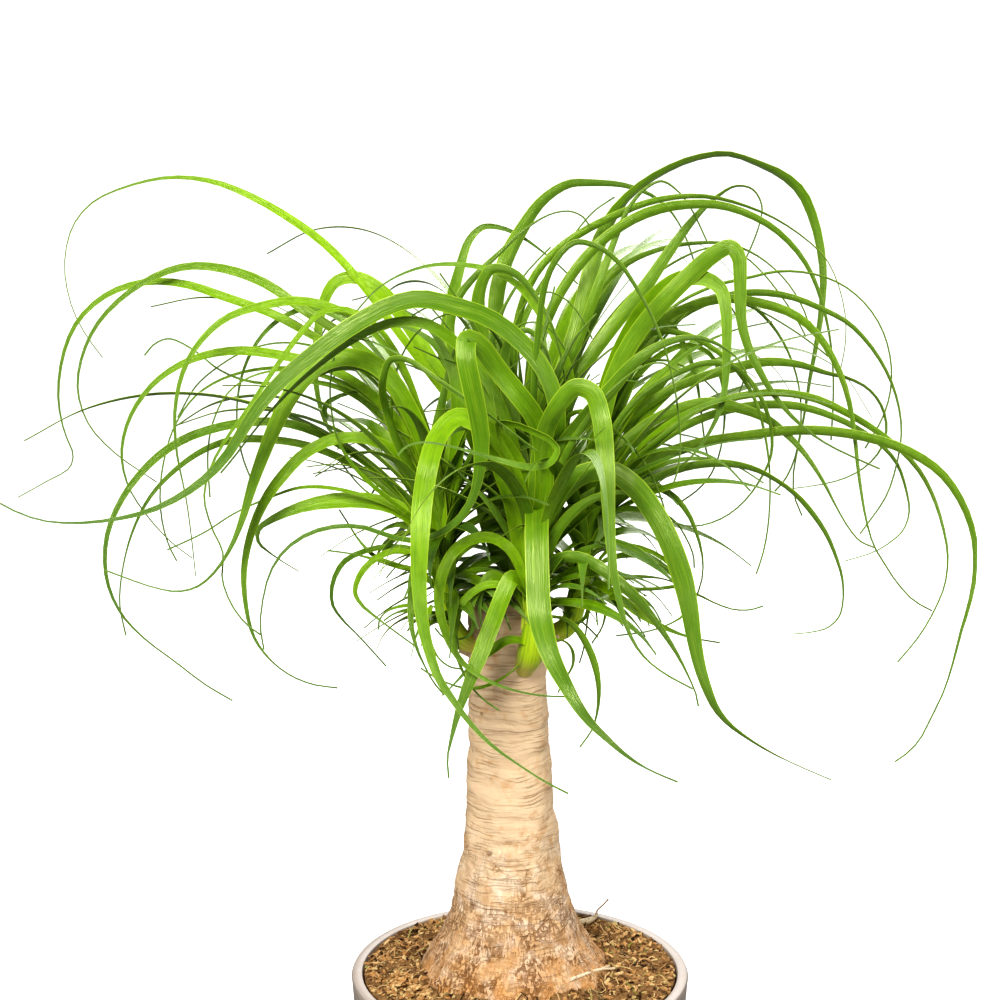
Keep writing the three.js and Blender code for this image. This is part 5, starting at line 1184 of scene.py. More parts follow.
@dataclass(frozen=True)
class LeafFinish(Finish):
    """Satin lime-green blade with fine veins along it, yellow at its foot and duller below.

    It carries painted light: its lower part is brighter as if lit through, and its downward face and dark
    tones are partly painted shade.
    """

    name: str = "leaf_blade"
    roughness: float = 0.36
    gloss: float = 0.5
    relief_depth: float = 0.00035
    relief_strength: float = 0.6
    foot: Colour = (0.62, 0.64, 0.07, 1)
    # Painted light shining through the blade's lower part
    bright: Colour = (0.32, 0.55, 0.003, 1)
    # Tone colours, lightest to darkest, which partly serve as painted light and shade
    fresh_green_and_light: Colour = (0.245, 0.455, 0.003, 1)
    green: Colour = (0.175, 0.345, 0.003, 1)
    deep_green_and_shade: Colour = (0.060, 0.155, 0.003, 1)
    # Darker downward face: partly a duller underside, partly painted shade
    underside_and_shade: Colour = (0.088, 0.18, 0.016, 1)
    tip: Colour = (0.080, 0.155, 0.055, 1)
    line: Colour = (0.40, 0.55, 0.03, 1)
    shine: Colour = (0.95, 1.0, 0.50, 1)
    veins: Marks = Marks((30.0, 0.22, 0.0), 1.0, 0.48, 0.60, 0.22)
    grooves: Marks = Marks((17.0, 0.15, 0.0), 1.3, 0.50, 0.66, 0.38)
    patches: Marks = Marks((1.6, 0.9, 0.0), 1.0, 0.42, 0.72, 0.40)
    foot_part: Span = (0.0, 0.10, 0.9, 0.0)
    lit_through_part: Span = (0.10, 0.45, 0.75, 0.0)
    lit_through_tones: Span = (0.0, 0.6, 0.2, 1.0)
    tip_part: Span = (0.55, 0.92, 0.0, 0.8)
    underside_shade_part: Span = (0.4, 0.6, 0.55, 0.0)
    edge_part: Span = (0.455, 0.485, 0.0, 0.75)
    sheen: Span = (0.3, 0.7, 0.17, 0.36)
    groove_depth: float = 1.2

    def along_blade(self, painter: Painter, share: object, tone: object, body: object) -> object:
        """Colour along the blade: pale foot, painted light low down, the body's own green and a dull tip.

        Args:
            painter: Painter of the material.
            share: Share of the length.
            tone: Tone of the leaf, where 1 is the brightest.
            body: Colour of the blade's middle.

        Returns:
            The colour.
        """
        # Painted light: the lower part is brighter, as if light shone through the blade, more so in
        # light-toned leaves
        low = painter.span(share, *self.lit_through_part)
        lit = painter.math("MULTIPLY", low, painter.span(tone, *self.lit_through_tones))
        colour = painter.mix(lit, body, self.bright)
        colour = painter.mix(painter.span(share, *self.foot_part), colour, self.foot)
        return painter.mix(painter.span(share, *self.tip_part), colour, self.tip)

    def build(self, streaks: bpy.types.NodeTree) -> bpy.types.Material:
        """Makes the material.

        Args:
            streaks: The shared streaks.

        Returns:
            The material.
        """
        material, painter, shader = self.start()
        shader.inputs["Specular Tint"].default_value = self.shine
        share, tone, upper = painter.painted("blade")
        across = painter.add("ShaderNodeUVMap", uv_map=BLADE_MAP).outputs[0]
        # Tone ramp from dark to fresh green: partly the leaves' own differences, partly painted light and
        # shade set by the tone ranges
        stops = [(0.0, self.deep_green_and_shade), (0.35, self.green), (0.65, self.green), (1.0, self.fresh_green_and_light)]
        colour = self.along_blade(painter, share, tone, painter.ramp(tone, stops))
        # Partly painted shade: the blade's downward face is darker, partly as a duller underside
        colour = painter.mix(painter.span(upper, *self.underside_shade_part), colour, self.underside_and_shade)
        stains = ((self.veins, self.line), (self.grooves, self.deep_green_and_shade), (self.patches, self.deep_green_and_shade))
        tones = []
        for marks, stain in stains:
            node = painter.marked(streaks, across, marks)
            colour = painter.stained(colour, node, marks, stain)
            tones.append(node.outputs["Tone"])
        middle = painter.math("ABSOLUTE", painter.math("SUBTRACT", painter.parts(across)[0], 0.5))
        edge = painter.span(middle, *self.edge_part)
        painter.feed(painter.mix(edge, colour, self.line), shader.inputs["Base Color"])
        painter.feed(painter.span(tones[1], *self.sheen), shader.inputs["Roughness"])
        ribs = painter.math("MULTIPLY_ADD", tones[1], self.groove_depth, tones[0])
        self.raise_relief(painter, shader, ribs)
        return material


@dataclass(frozen=True)
class SheathFinish(Finish):
    """Pale swollen foot of a shoot, yellow below and dark green inside the leaves, with fine streaks.

    The dark green top and the dark streaks are partly painted shade where the leaves close over it.
    """

    name: str = "shoot_sheath"
    roughness: float = 0.42
    gloss: float = 0.4
    relief_depth: float = 0.0004
    relief_strength: float = 0.6
    foot: Colour = (0.62, 0.58, 0.10, 1)
    middle: Colour = (0.40, 0.55, 0.008, 1)
    # Dark green top and streaks, partly painted shade among the leaves
    top: Colour = (0.13, 0.28, 0.004, 1)
    streak_and_gap_shade: Colour = (0.11, 0.25, 0.003, 1)
    lines: Marks = Marks((34.0, 0.8, 0.0), 1.0, 0.45, 0.65, 0.5)

    def build(self, streaks: bpy.types.NodeTree) -> bpy.types.Material:
        """Makes the material.

        Args:
            streaks: The shared streaks.

        Returns:
            The material.
        """
        material, painter, shader = self.start()
        share, _, _ = painter.painted("blade")
        around = painter.add("ShaderNodeUVMap", uv_map=BLADE_MAP).outputs[0]
        # Painted shade in part: the top is dark green where the leaves close over the foot
        stops = [(0.12, self.foot), (0.3, self.middle), (0.6, self.middle), (0.95, self.top)]
        # The dark streaks are partly painted shade in the gaps between packed leaf bases
        lines = painter.marked(streaks, around, self.lines)
        colour = painter.stained(painter.ramp(share, stops), lines, self.lines, self.streak_and_gap_shade)
        painter.feed(colour, shader.inputs["Base Color"])
        self.raise_relief(painter, shader, lines.outputs["Tone"])
        return material


@dataclass(frozen=True)
class BarkFinish(Finish):
    """Pale cream bark with fine level wrinkles, a crackled lower part and an orange-brown foot.

    The wrinkles and the dark cut top are darkened partly as painted shade.
    """

    name: str = "trunk_bark"
    roughness: float = 0.85
    gloss: float = 0.2
    relief_depth: float = 0.0008
    relief_strength: float = 0.9
    cream: Colour = (0.70, 0.51, 0.315, 1)
    tan: Colour = (0.60, 0.37, 0.19, 1)
    peach: Colour = (0.72, 0.49, 0.31, 1)
    # Colour of the wrinkles, partly painted shade
    wrinkle_and_shade: Colour = (0.36, 0.185, 0.075, 1)
    flake: Colour = (0.82, 0.68, 0.52, 1)
    crack: Colour = (0.17, 0.066, 0.012, 1)
    foot: Colour = (0.55, 0.25, 0.065, 1)
    # Dark cut top, partly painted shade under the crown
    cut: Colour = (0.10, 0.075, 0.055, 1)
    fine: Marks = Marks((0.05, 0.05, 1.0), 900.0, 0.50, 0.68)
    broad: Marks = Marks((0.05, 0.05, 1.0), 330.0, 0.50, 0.68, 0.18)
    splits: Marks = Marks((1.0, 1.0, 0.14), 800.0, 0.495, 0.57)
    levels: Marks = Marks((0.2, 0.2, 1.0), 560.0, 0.50, 0.62)
    stripes: Marks = Marks((1.0, 1.0, 0.25), 190.0, 0.36, 0.60)
    crackled_below: Span = (0.264, 0.222)
    stained_below: Span = (0.246, 0.180)
    cut_and_shade_above: Span = (0.325, 0.3275)
    uneven: float = 0.10
    cut_and_shade_uneven: float = 0.006
    wave_scale: float = 45.0
    wave_reach: tuple[float, float, float] = (0.0, 0.0, 0.009)
    wrinkle_fading: Patch = Patch(55.0, 2.0, 0.40, 0.60, 0.12, 0.42)
    wrinkle_depth: float = 1.6
    net_bends: float = 180.0
    net_reach: tuple[float, float, float] = (0.010, 0.010, 0.010)
    net_stretch: tuple[float, float, float] = (0.7, 0.7, 1.0)
    net_scale: float = 230.0
    net_lines: Span = (0.02, 0.11, 0.9, 0.0)
    net_gaps: Patch = Patch(120.0, 3.0, 0.42, 0.56)
    split_depth: Span = (0.0, 0.8, 0.35, 1.0)
    level_depth: Span = (0.0, 1.0, 0.75, 0.3)
    crack_fading: Patch = Patch(70.0, 3.0, 0.42, 0.55, 0.4, 1.0)
    crack_strength: float = 0.88
    flakes: Patch = Patch(95.0, 3.0, 0.50, 0.60, 0.0, 0.8)
    stain_depth: Span = (0.38, 0.54, 0.5, 1.0)
    stripe_depth: Span = (0.0, 1.0, 0.5, 1.0)
    pit_scale: float = 62.0
    pit_size: Span = (0.07, 0.13, 1.0, 0.0)
    pit_areas: Patch = Patch(36.0, 1.0, 0.50, 0.56)
    pit_strength: float = 0.8
    dent_depth: float = -0.9

    def wrinkles(self, painter: Painter, streaks: bpy.types.NodeTree, place: object) -> object:
        """Long wavy level lines, fine and broad, that fade in and out.

        Args:
            painter: Painter of the material.
            streaks: The shared streaks.
            place: The place on the object.

        Returns:
            Their depth.
        """
        wavy = painter.shaken(place, self.wave_scale, self.wave_reach)
        fine = painter.marked(streaks, wavy, self.fine)
        broad = painter.marked(streaks, wavy, self.broad)
        lines = painter.math("MULTIPLY", fine.outputs["Mask"], painter.patchy(place, self.wrinkle_fading))
        return painter.math("MULTIPLY_ADD", broad.outputs["Mask"], self.broad.strength, lines)

    def cracks(self, painter: Painter, streaks: bpy.types.NodeTree, place: object, foot: object) -> object:
        """A broken net of cracks, with more upright splits towards the foot.

        Args:
            painter: Painter of the material.
            streaks: The shared streaks.
            place: The place on the object.
            foot: How far down towards the foot, from 0 to 1.

        Returns:
            Their depth.
        """
        bent = painter.stretched(painter.shaken(place, self.net_bends, self.net_reach), self.net_stretch)
        net = painter.span(painter.cells(bent, self.net_scale, "DISTANCE_TO_EDGE"), *self.net_lines)
        net = painter.math("MULTIPLY", net, painter.patchy(place, self.net_gaps))
        splits = painter.marked(streaks, place, self.splits)
        levels = painter.marked(streaks, bent, self.levels)
        upright = painter.math("MULTIPLY", splits.outputs["Mask"], painter.span(foot, *self.split_depth))
        level = painter.math("MULTIPLY", levels.outputs["Mask"], painter.span(foot, *self.level_depth))
        depth = painter.math("MAXIMUM", net, painter.math("MAXIMUM", upright, level))
        return painter.math("MULTIPLY", depth, painter.patchy(place, self.crack_fading))

    def build(self, streaks: bpy.types.NodeTree, mottle: bpy.types.NodeTree) -> bpy.types.Material:
        """Makes the material.

        Args:
            streaks: The shared streaks.
            mottle: The shared blotches.

        Returns:
            The material.
        """
        material, painter, shader = self.start()
        place = painter.place()
        blotch = painter.group(mottle, Place=place, Coarse=42.0, Fine=210.0).outputs["Tone"]
        height = painter.parts(place)[2]
        uneven = painter.math("MULTIPLY_ADD", blotch, self.uneven, height)
        low = painter.span(uneven, *self.crackled_below)
        foot = painter.span(uneven, *self.stained_below)
        stops = [(0.34, self.tan), (0.47, self.cream), (0.56, self.cream), (0.66, self.peach)]
        lines = self.wrinkles(painter, streaks, place)
        # The wrinkles are darkened partly as painted shade in their folds
        colour = painter.mix(lines, painter.ramp(blotch, stops), self.wrinkle_and_shade)
        flakes = painter.patchy(place, self.flakes)
        colour = painter.mix(painter.math("MULTIPLY", flakes, low), colour, self.flake)
        stripes = painter.marked(streaks, place, self.stripes)
        stain = painter.math("MULTIPLY", foot, painter.span(blotch, *self.stain_depth))
        stain = painter.math("MULTIPLY", stain, painter.span(stripes.outputs["Mask"], *self.stripe_depth))
        colour = painter.mix(stain, colour, self.foot)
        crackle = painter.math("MULTIPLY", low, self.cracks(painter, streaks, place, foot))
        colour = painter.mix(painter.math("MULTIPLY", crackle, self.crack_strength), colour, self.crack)
        # The cut top is painted dark, partly its own colour and partly painted shade under the crown
        top = painter.span(painter.math("MULTIPLY_ADD", blotch, self.cut_and_shade_uneven, height), *self.cut_and_shade_above)
        colour = painter.mix(top, colour, self.cut)
        pits = painter.span(painter.cells(place, self.pit_scale), *self.pit_size)
        pits = painter.math("MULTIPLY", pits, painter.patchy(place, self.pit_areas))
        colour = painter.mix(painter.math("MULTIPLY", pits, self.pit_strength), colour, self.crack)
        painter.feed(colour, shader.inputs["Base Color"])
        folds = painter.math("MULTIPLY", lines, self.wrinkle_depth)
        dents = painter.math("ADD", folds, painter.math("ADD", crackle, pits))
        self.raise_relief(painter, shader, painter.math("MULTIPLY_ADD", dents, self.dent_depth, blotch))
        return material


@dataclass(frozen=True)
class SoilFinish(Finish):
    """Peat in browns, with tan, orange and mossy bits."""

    name: str = "peat"
    roughness: float = 0.95
    gloss: float = 0.1
    relief_depth: float = 0.0016
    relief_strength: float = 1.0
    dark: Colour = (0.022, 0.010, 0.004, 1)
    brown: Colour = (0.12, 0.057, 0.018, 1)
    tan: Colour = (0.37, 0.215, 0.088, 1)
    gold: Colour = (0.66, 0.46, 0.22, 1)
    rust: Colour = (0.42, 0.205, 0.065, 1)
    moss: Colour = (0.19, 0.20, 0.03, 1)
    tone_share: float = 0.62
    blotch_share: float = 0.40

    def build(self, mottle: bpy.types.NodeTree) -> bpy.types.Material:
        """Makes the material.

        Args:
            mottle: The shared blotches.

        Returns:
            The material.
        """
        material, painter, shader = self.start()
        place = painter.place()
        tone, kind, _ = painter.painted("bit")
        blotch = painter.group(mottle, Place=place, Coarse=110.0, Fine=900.0).outputs["Tone"]
        faded = painter.math("MULTIPLY", blotch, self.blotch_share)
        mixed = painter.math("MULTIPLY_ADD", tone, self.tone_share, faded)
        stops = [(0.20, self.dark), (0.34, self.brown), (0.48, self.tan), (0.60, self.rust)]
        colour = painter.ramp(mixed, stops + [(0.70, self.gold), (0.80, self.moss)])
        painter.feed(painter.mix(kind, colour, self.gold), shader.inputs["Base Color"])
        self.raise_relief(painter, shader, blotch)
        return material


@dataclass(frozen=True)
class PlasticFinish(Finish):
    """Grey-taupe moulded plastic with faint scuffs, a little dust and a painted highlight on its top edge."""

    name: str = "pot_plastic"
    roughness: float = 0.45
    gloss: float = 0.5
    relief_depth: float = 0.0002
    relief_strength: float = 0.25
    body: Colour = (0.35, 0.285, 0.23, 1)
    shade: Colour = (0.29, 0.235, 0.19, 1)
    # Painted highlight on the rim's top edge
    lip_highlight: Colour = (0.38, 0.32, 0.27, 1)
    dust: Colour = (0.25, 0.17, 0.11, 1)
    scuffs: Marks = Marks((0.3, 0.3, 1.0), 260.0, 0.64, 0.74, 0.35)
    lip_highlight_part: Span = ((POT_HEIGHT - 1.2) * MM, (POT_HEIGHT - 0.2) * MM, 0.0, 0.8)
    sheen: Span = (0.35, 0.65, 0.38, 0.55)

    def build(self, streaks: bpy.types.NodeTree, mottle: bpy.types.NodeTree) -> bpy.types.Material:
        """Makes the material.

        Args:
            streaks: The shared streaks.
            mottle: The shared blotches.

        Returns:
            The material.
        """
        material, painter, shader = self.start()
        place = painter.place()
        blotch = painter.group(mottle, Place=place, Coarse=22.0, Fine=240.0).outputs["Tone"]
        colour = painter.ramp(blotch, [(0.38, self.shade), (0.6, self.body)])
        # Painted highlight: the rim's top edge is lighter
        high = painter.span(painter.parts(place)[2], *self.lip_highlight_part)
        colour = painter.mix(high, colour, self.lip_highlight)
        scuffs = painter.marked(streaks, place, self.scuffs)
        colour = painter.stained(colour, scuffs, self.scuffs, self.dust)
        painter.feed(colour, shader.inputs["Base Color"])
        painter.feed(painter.span(blotch, *self.sheen), shader.inputs["Roughness"])
        self.raise_relief(painter, shader, blotch)
        return material


@dataclass(frozen=True)
class DryFinish(Finish):
    """Pale dry straw with darker flecks."""

    name: str = "dry_straw"
    roughness: float = 0.7
    gloss: float = 0.3
    relief_depth: float = 0.0002
    relief_strength: float = 0.5
    pale: Colour = (0.74, 0.62, 0.42, 1)
    dark: Colour = (0.16, 0.085, 0.035, 1)
    flecks: Marks = Marks((1.0, 1.0, 1.0), 500.0, 0.5, 0.7, 0.5)

    def build(self, streaks: bpy.types.NodeTree) -> bpy.types.Material:
        """Makes the material.

        Args:
            streaks: The shared streaks.

        Returns:
            The material.
        """
        material, painter, shader = self.start()
        flecks = painter.marked(streaks, painter.place(), self.flecks)
        colour = painter.stained(self.pale, flecks, self.flecks, self.dark)
        colour = painter.mix(painter.painted("withered")[0], colour, self.dark)
        painter.feed(colour, shader.inputs["Base Color"])
        self.raise_relief(painter, shader, flecks.outputs["Tone"])
        return material


@dataclass
class Pot:
    """Thin-walled round pot with a rim band."""

    sides: int = 128

    def build(self, finish: bpy.types.Material) -> list[bpy.types.Object]:
        """Models the pot, from its foot over the rim to its inner floor.

        Args:
            finish: Finish of the pot.

        Returns:
            The shell.
        """
        band = POT_HEIGHT - POT_RIM_BAND
        wall = POT_RIM_RADIUS - POT_BAND_STEP
        profile = [
            (POT_FOOT_RADIUS - 2.5, 0.0), (POT_FOOT_RADIUS - 0.8, 0.5), (POT_FOOT_RADIUS, 2.0),
            (POT_FOOT_RADIUS + 0.1, 2.6), (wall - 0.1, band - 3.6), (wall, band - 3.0),
            (POT_RIM_RADIUS - 1.6, band - 0.5), (POT_RIM_RADIUS - 1.1, band + 0.4),
            (POT_RIM_RADIUS - 0.25, POT_HEIGHT - 3.0), (POT_RIM_RADIUS - 0.05, POT_HEIGHT - 1.7),
            (POT_RIM_RADIUS - 0.6, POT_HEIGHT - 0.5), (POT_RIM_RADIUS - 1.7, POT_HEIGHT),
            (POT_RIM_INNER_RADIUS + 1.8, POT_HEIGHT), (POT_RIM_INNER_RADIUS + 0.5, POT_HEIGHT - 0.4),
            (POT_RIM_INNER_RADIUS, POT_HEIGHT - 1.4), (POT_RIM_INNER_RADIUS - 0.1, POT_HEIGHT - 3.0),
            (wall - POT_WALL, band - 4.0), (POT_FOOT_RADIUS - POT_WALL, POT_FLOOR + 0.5),
            (POT_FOOT_RADIUS - POT_WALL - 1, POT_FLOOR), (1.0, POT_FLOOR),
        ]
        shell = Bench.rings("pot_shell", self.sides, [(radius, height, 0.0) for radius, height in profile])
        shell.data.materials.append(finish)
        Bench.smooth(shell, 35)
        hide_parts("pot")
        return [shell]


@dataclass
class Soil:
    """Peat filling with a lumpy top, crumbs and loose fibres.

    The grain is a layer, a size and a height for each size of lump, and a clump is a place and a reach.
    """

    sides: int = 72
    bed_rings: int = 12
    bed_tone: float = 0.30
    shoulder_height: float = 111.0
    edge_height: float = 121.0
    edge_clearance: float = 0.4
    bed_height: float = 125.0
    loose_above: float = 122.5
    hole_radius: float = 47.0
    hole_floor: float = 112.0
    inner_radius: float = 44.0
    outer_radius: float = 78.0
    calm_radius: float = 79.0
    calm_width: float = 5.0
    bank_radius: float = 46.0
    bank_width: float = 7.0
    bank_height: float = 2.2
    lift: float = 0.2
    rim_lift: float = 3.5
    grain: tuple = ((3.0, 9.0, 1.6), (9.0, 3.6, 1.3), (1.0, 1.7, 0.6))
    crumbs: int = 3400
    crumb_sizes: Span = (0.5, 1.3)
    crumb_shape: tuple = ((0.9, 2.4), (0.5, 1.1), (0.3, 0.8))
    crumb_rough: Span = (0.65, 1.3)
    crumb_tilt: Span = (-0.6, 0.6)
    crumb_lift: float = 0.15
    crumb_lightest: float = 0.9
    clumps: tuple = ((-57.0, -27.0, 9.0), (-60.0, -18.0, 6.0), (-50.0, -36.0, 6.0))
    clump_crumbs: int = 130
    clump_height: float = 3.5
    clump_sizes: Span = (0.6, 1.5)
    clump_tones: Span = (0.45, 0.85)
    fibres: int = 700
    fibre_rows: int = 6
    fibre_bend: Span = (-0.8, 0.8)
    short_fibres: float = 0.85
    short_lengths: Span = (2.0, 6.5)
    long_lengths: Span = (7, 15)
    fibre_lift: Span = (0.3, 2.0)
    fibre_thickness: Span = (0.14, 0.36)
    fibre_flatness: float = 1.4
    pale_power: float = 5

    def surface(self, x: float, y: float) -> float:
        """Height of the crumbly surface, banked up against the trunk.

        Args:
            x: Place to the right, in millimetres.
            y: Place away from the viewer.

        Returns:
            The height in millimetres.
        """
        rough = sum(relief(x, y, layer, size) * height for layer, size, height in self.grain)
        reach = math.hypot(x, y)
        from_trunk = math.hypot(x - TRUNK_SHIFT_AT_SOIL, y) - self.bank_radius
        bank = self.bank_height * max(0.0, 1 - from_trunk / self.bank_width)
        raised = self.lift + self.rim_lift * (reach / POT_RIM_INNER_RADIUS) ** 3
        calm = min(1.0, max(0.0, (self.calm_radius - reach) / self.calm_width))
        return soil_height(x, y) + raised + bank + rough * calm

    def build_bed(self, finish: bpy.types.Material) -> bpy.types.Object:
        """The filling, with rings that run in towards the trunk and down its hole.

        Args:
            finish: Finish of the soil.

        Returns:
            The filling.
        """
        foot = POT_FOOT_RADIUS - POT_WALL - FIT_GAP
        shoulder = POT_RIM_RADIUS - POT_BAND_STEP - POT_WALL - FIT_GAP
        edge = POT_RIM_INNER_RADIUS - FIT_GAP - self.edge_clearance
        shift = TRUNK_SHIFT_AT_SOIL
        profile = [(foot, POT_FLOOR + FIT_GAP, 0.0), (shoulder, self.shoulder_height, 0.0)]
        profile.append((edge, self.edge_height, 0.0))
        for n in range(self.bed_rings + 1):
            share = n / self.bed_rings
            profile.append((edge + (self.hole_radius - edge) * share, self.bed_height, shift * share))
        profile.append((self.hole_radius - 0.5, self.hole_floor, shift))
        bed = Bench.rings("soil_bed", self.sides, profile)
        Bench.apply(bed, "SUBSURF", levels=2, render_levels=2)
        places = Bench.corners(bed) / MM
        for n, (x, y, z) in enumerate(places):
            if z > self.loose_above and math.hypot(x, y) > self.inner_radius:
                places[n][2] = self.surface(x, y)
        Bench.place_corners(bed, places * MM)
        self.mark(bed, self.bed_tone, 0.0)
        bed.data.materials.append(finish)
        Bench.smooth(bed, 60)
        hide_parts("soil")
        return bed

    def mark(self, piece: bpy.types.Object, tone: float, kind: float) -> None:
        """Keeps a tone on every corner of a piece."""
        Bench.paint(piece, "bit", np.tile([tone, kind, 0.0, 1.0], (len(piece.data.vertices), 1)))

    def spot(self, draws: Draws) -> tuple[float, float]:
        """A place on the bed, clear of the rim and right up to the trunk.

        Args:
            draws: Numbers for the place.

        Returns:
            Place to the right and place away from the viewer.
        """
        while True:
            angle = draws.between(0, 2 * math.pi)
            reach = math.sqrt(draws.between(self.inner_radius**2, self.outer_radius**2))
            x, y = reach * math.cos(angle), reach * math.sin(angle)
            if math.hypot(x - TRUNK_SHIFT_AT_SOIL, y) > self.hole_radius:
                return x, y

    def bit_spots(self, draws: Draws) -> list[tuple[float, float, float, float]]:
        """Places, sizes and heights above the bed of the crumbs.

        Args:
            draws: Numbers for the places.

        Returns:
            Sideways place, depth place, size and height for each crumb.
        """
        spots = []
        for _ in range(self.crumbs):
            spots.append((*self.spot(draws), draws.between(*self.crumb_sizes) ** 1.5, 0.0))
        for x0, y0, reach in self.clumps:
            for _ in range(self.clump_crumbs):
                x = x0 + draws.between(-reach, reach)
                y = y0 + draws.between(-reach, reach)
                dome = self.clump_height * max(0.0, 1 - ((x - x0) ** 2 + (y - y0) ** 2) / reach**2)
                if math.hypot(x, y) < self.outer_radius - 1:
                    spots.append((x, y, draws.between(*self.clump_sizes), dome))
        return spots

    def build_crumbs(self, finish: bpy.types.Material) -> bpy.types.Object:
        """Angular bits of peat and bark scattered over the bed.

        Args:
            finish: Finish of the soil.

        Returns:
            The joined bits.
        """
        Bench.clear()
        bpy.ops.mesh.primitive_ico_sphere_add(subdivisions=1, radius=1.0)
        master = Bench.settle(bpy.context.active_object, "crumb")
        places = Bench.corners(master)
        draws = Draws(CRUMB_SEED)
        copies = []
        for x, y, size, height in self.bit_spots(draws):
            crumb = Bench.copy(master)
            stretch = np.array([draws.between(*limits) for limits in self.crumb_shape])
            rough = np.array([draws.between(*self.crumb_rough) for _ in places])[:, None]
            turn, tilt = draws.between(0, 2 * math.pi), draws.between(*self.crumb_tilt)
            c, s = math.cos(turn), math.sin(turn)
            ct, st = math.cos(tilt), math.sin(tilt)
            spun = (places * rough * stretch) @ np.array([[ct, 0, st], [0, 1, 0], [-st, 0, ct]])
            spun = spun @ np.array([[c, s, 0], [-s, c, 0], [0, 0, 1]])
            ground = np.array([x, y, self.surface(x, y) + size * self.crumb_lift + height])
            Bench.place_corners(crumb, (spun * size + ground) * MM)
            loose = height == 0
            tone = draws.next() * self.crumb_lightest if loose else draws.between(*self.clump_tones)
            self.mark(crumb, tone, 0.0)
            copies.append(crumb)
        bpy.data.objects.remove(master)
        crumbs = Bench.join(copies, "soil_crumbs")
        crumbs.data.materials.append(finish)
        return crumbs

    def fibre_points(self, draws: Draws) -> np.ndarray:
        """Route of one fibre over the bed.

        Args:
            draws: Numbers for the route.

        Returns:
            Its points in millimetres.
        """
        x, y = self.spot(draws)
        heading = draws.between(0, 2 * math.pi)
        bend = draws.between(*self.fibre_bend)
        lengths = self.short_lengths if draws.next() < self.short_fibres else self.long_lengths
        length = draws.between(*lengths)
        lift = draws.between(*self.fibre_lift) * draws.next()
        edge = self.outer_radius - 0.5
        points = []
        for k in range(4):
            share = k / 3 - 0.5
            angle = heading + bend * share
            px = x + math.cos(angle) * length * share
            py = y + math.sin(angle) * length * share
            over = math.hypot(px, py)
            if over > edge:
                px, py = px * edge / over, py * edge / over
            points.append([px, py, self.surface(px, py) + 0.4 + lift * (k / 3)])
        return np.array(points)

    def build_fibres(self, finish: bpy.types.Material) -> bpy.types.Object:
        """Thin dry roots and straw that lie on the bed.

        Args:
            finish: Finish of the soil.

        Returns:
            The joined fibres.
        """
        master = Blades.round_master("fibre", 4, self.fibre_rows)
        draws = Draws(FIBRE_SEED)
        copies = []
        for _ in range(self.fibres):
            path = Path(self.fibre_points(draws), self.fibre_rows)
            fibre = Bench.copy(master)
            thick = draws.between(*self.fibre_thickness)
            Blades.bend(fibre, path, lambda share, t=thick: (t * self.fibre_flatness, t))
            self.mark(fibre, draws.next(), draws.next() ** self.pale_power)
            copies.append(fibre)
        bpy.data.objects.remove(master)
        fibres = Bench.join(copies, "soil_fibres")
        fibres.data.materials.append(finish)
        return fibres

    def build(self, finish: bpy.types.Material) -> list[bpy.types.Object]:
        """Makes the bed and what lies on it."""
        return [self.build_bed(finish), self.build_crumbs(finish), self.build_fibres(finish)]


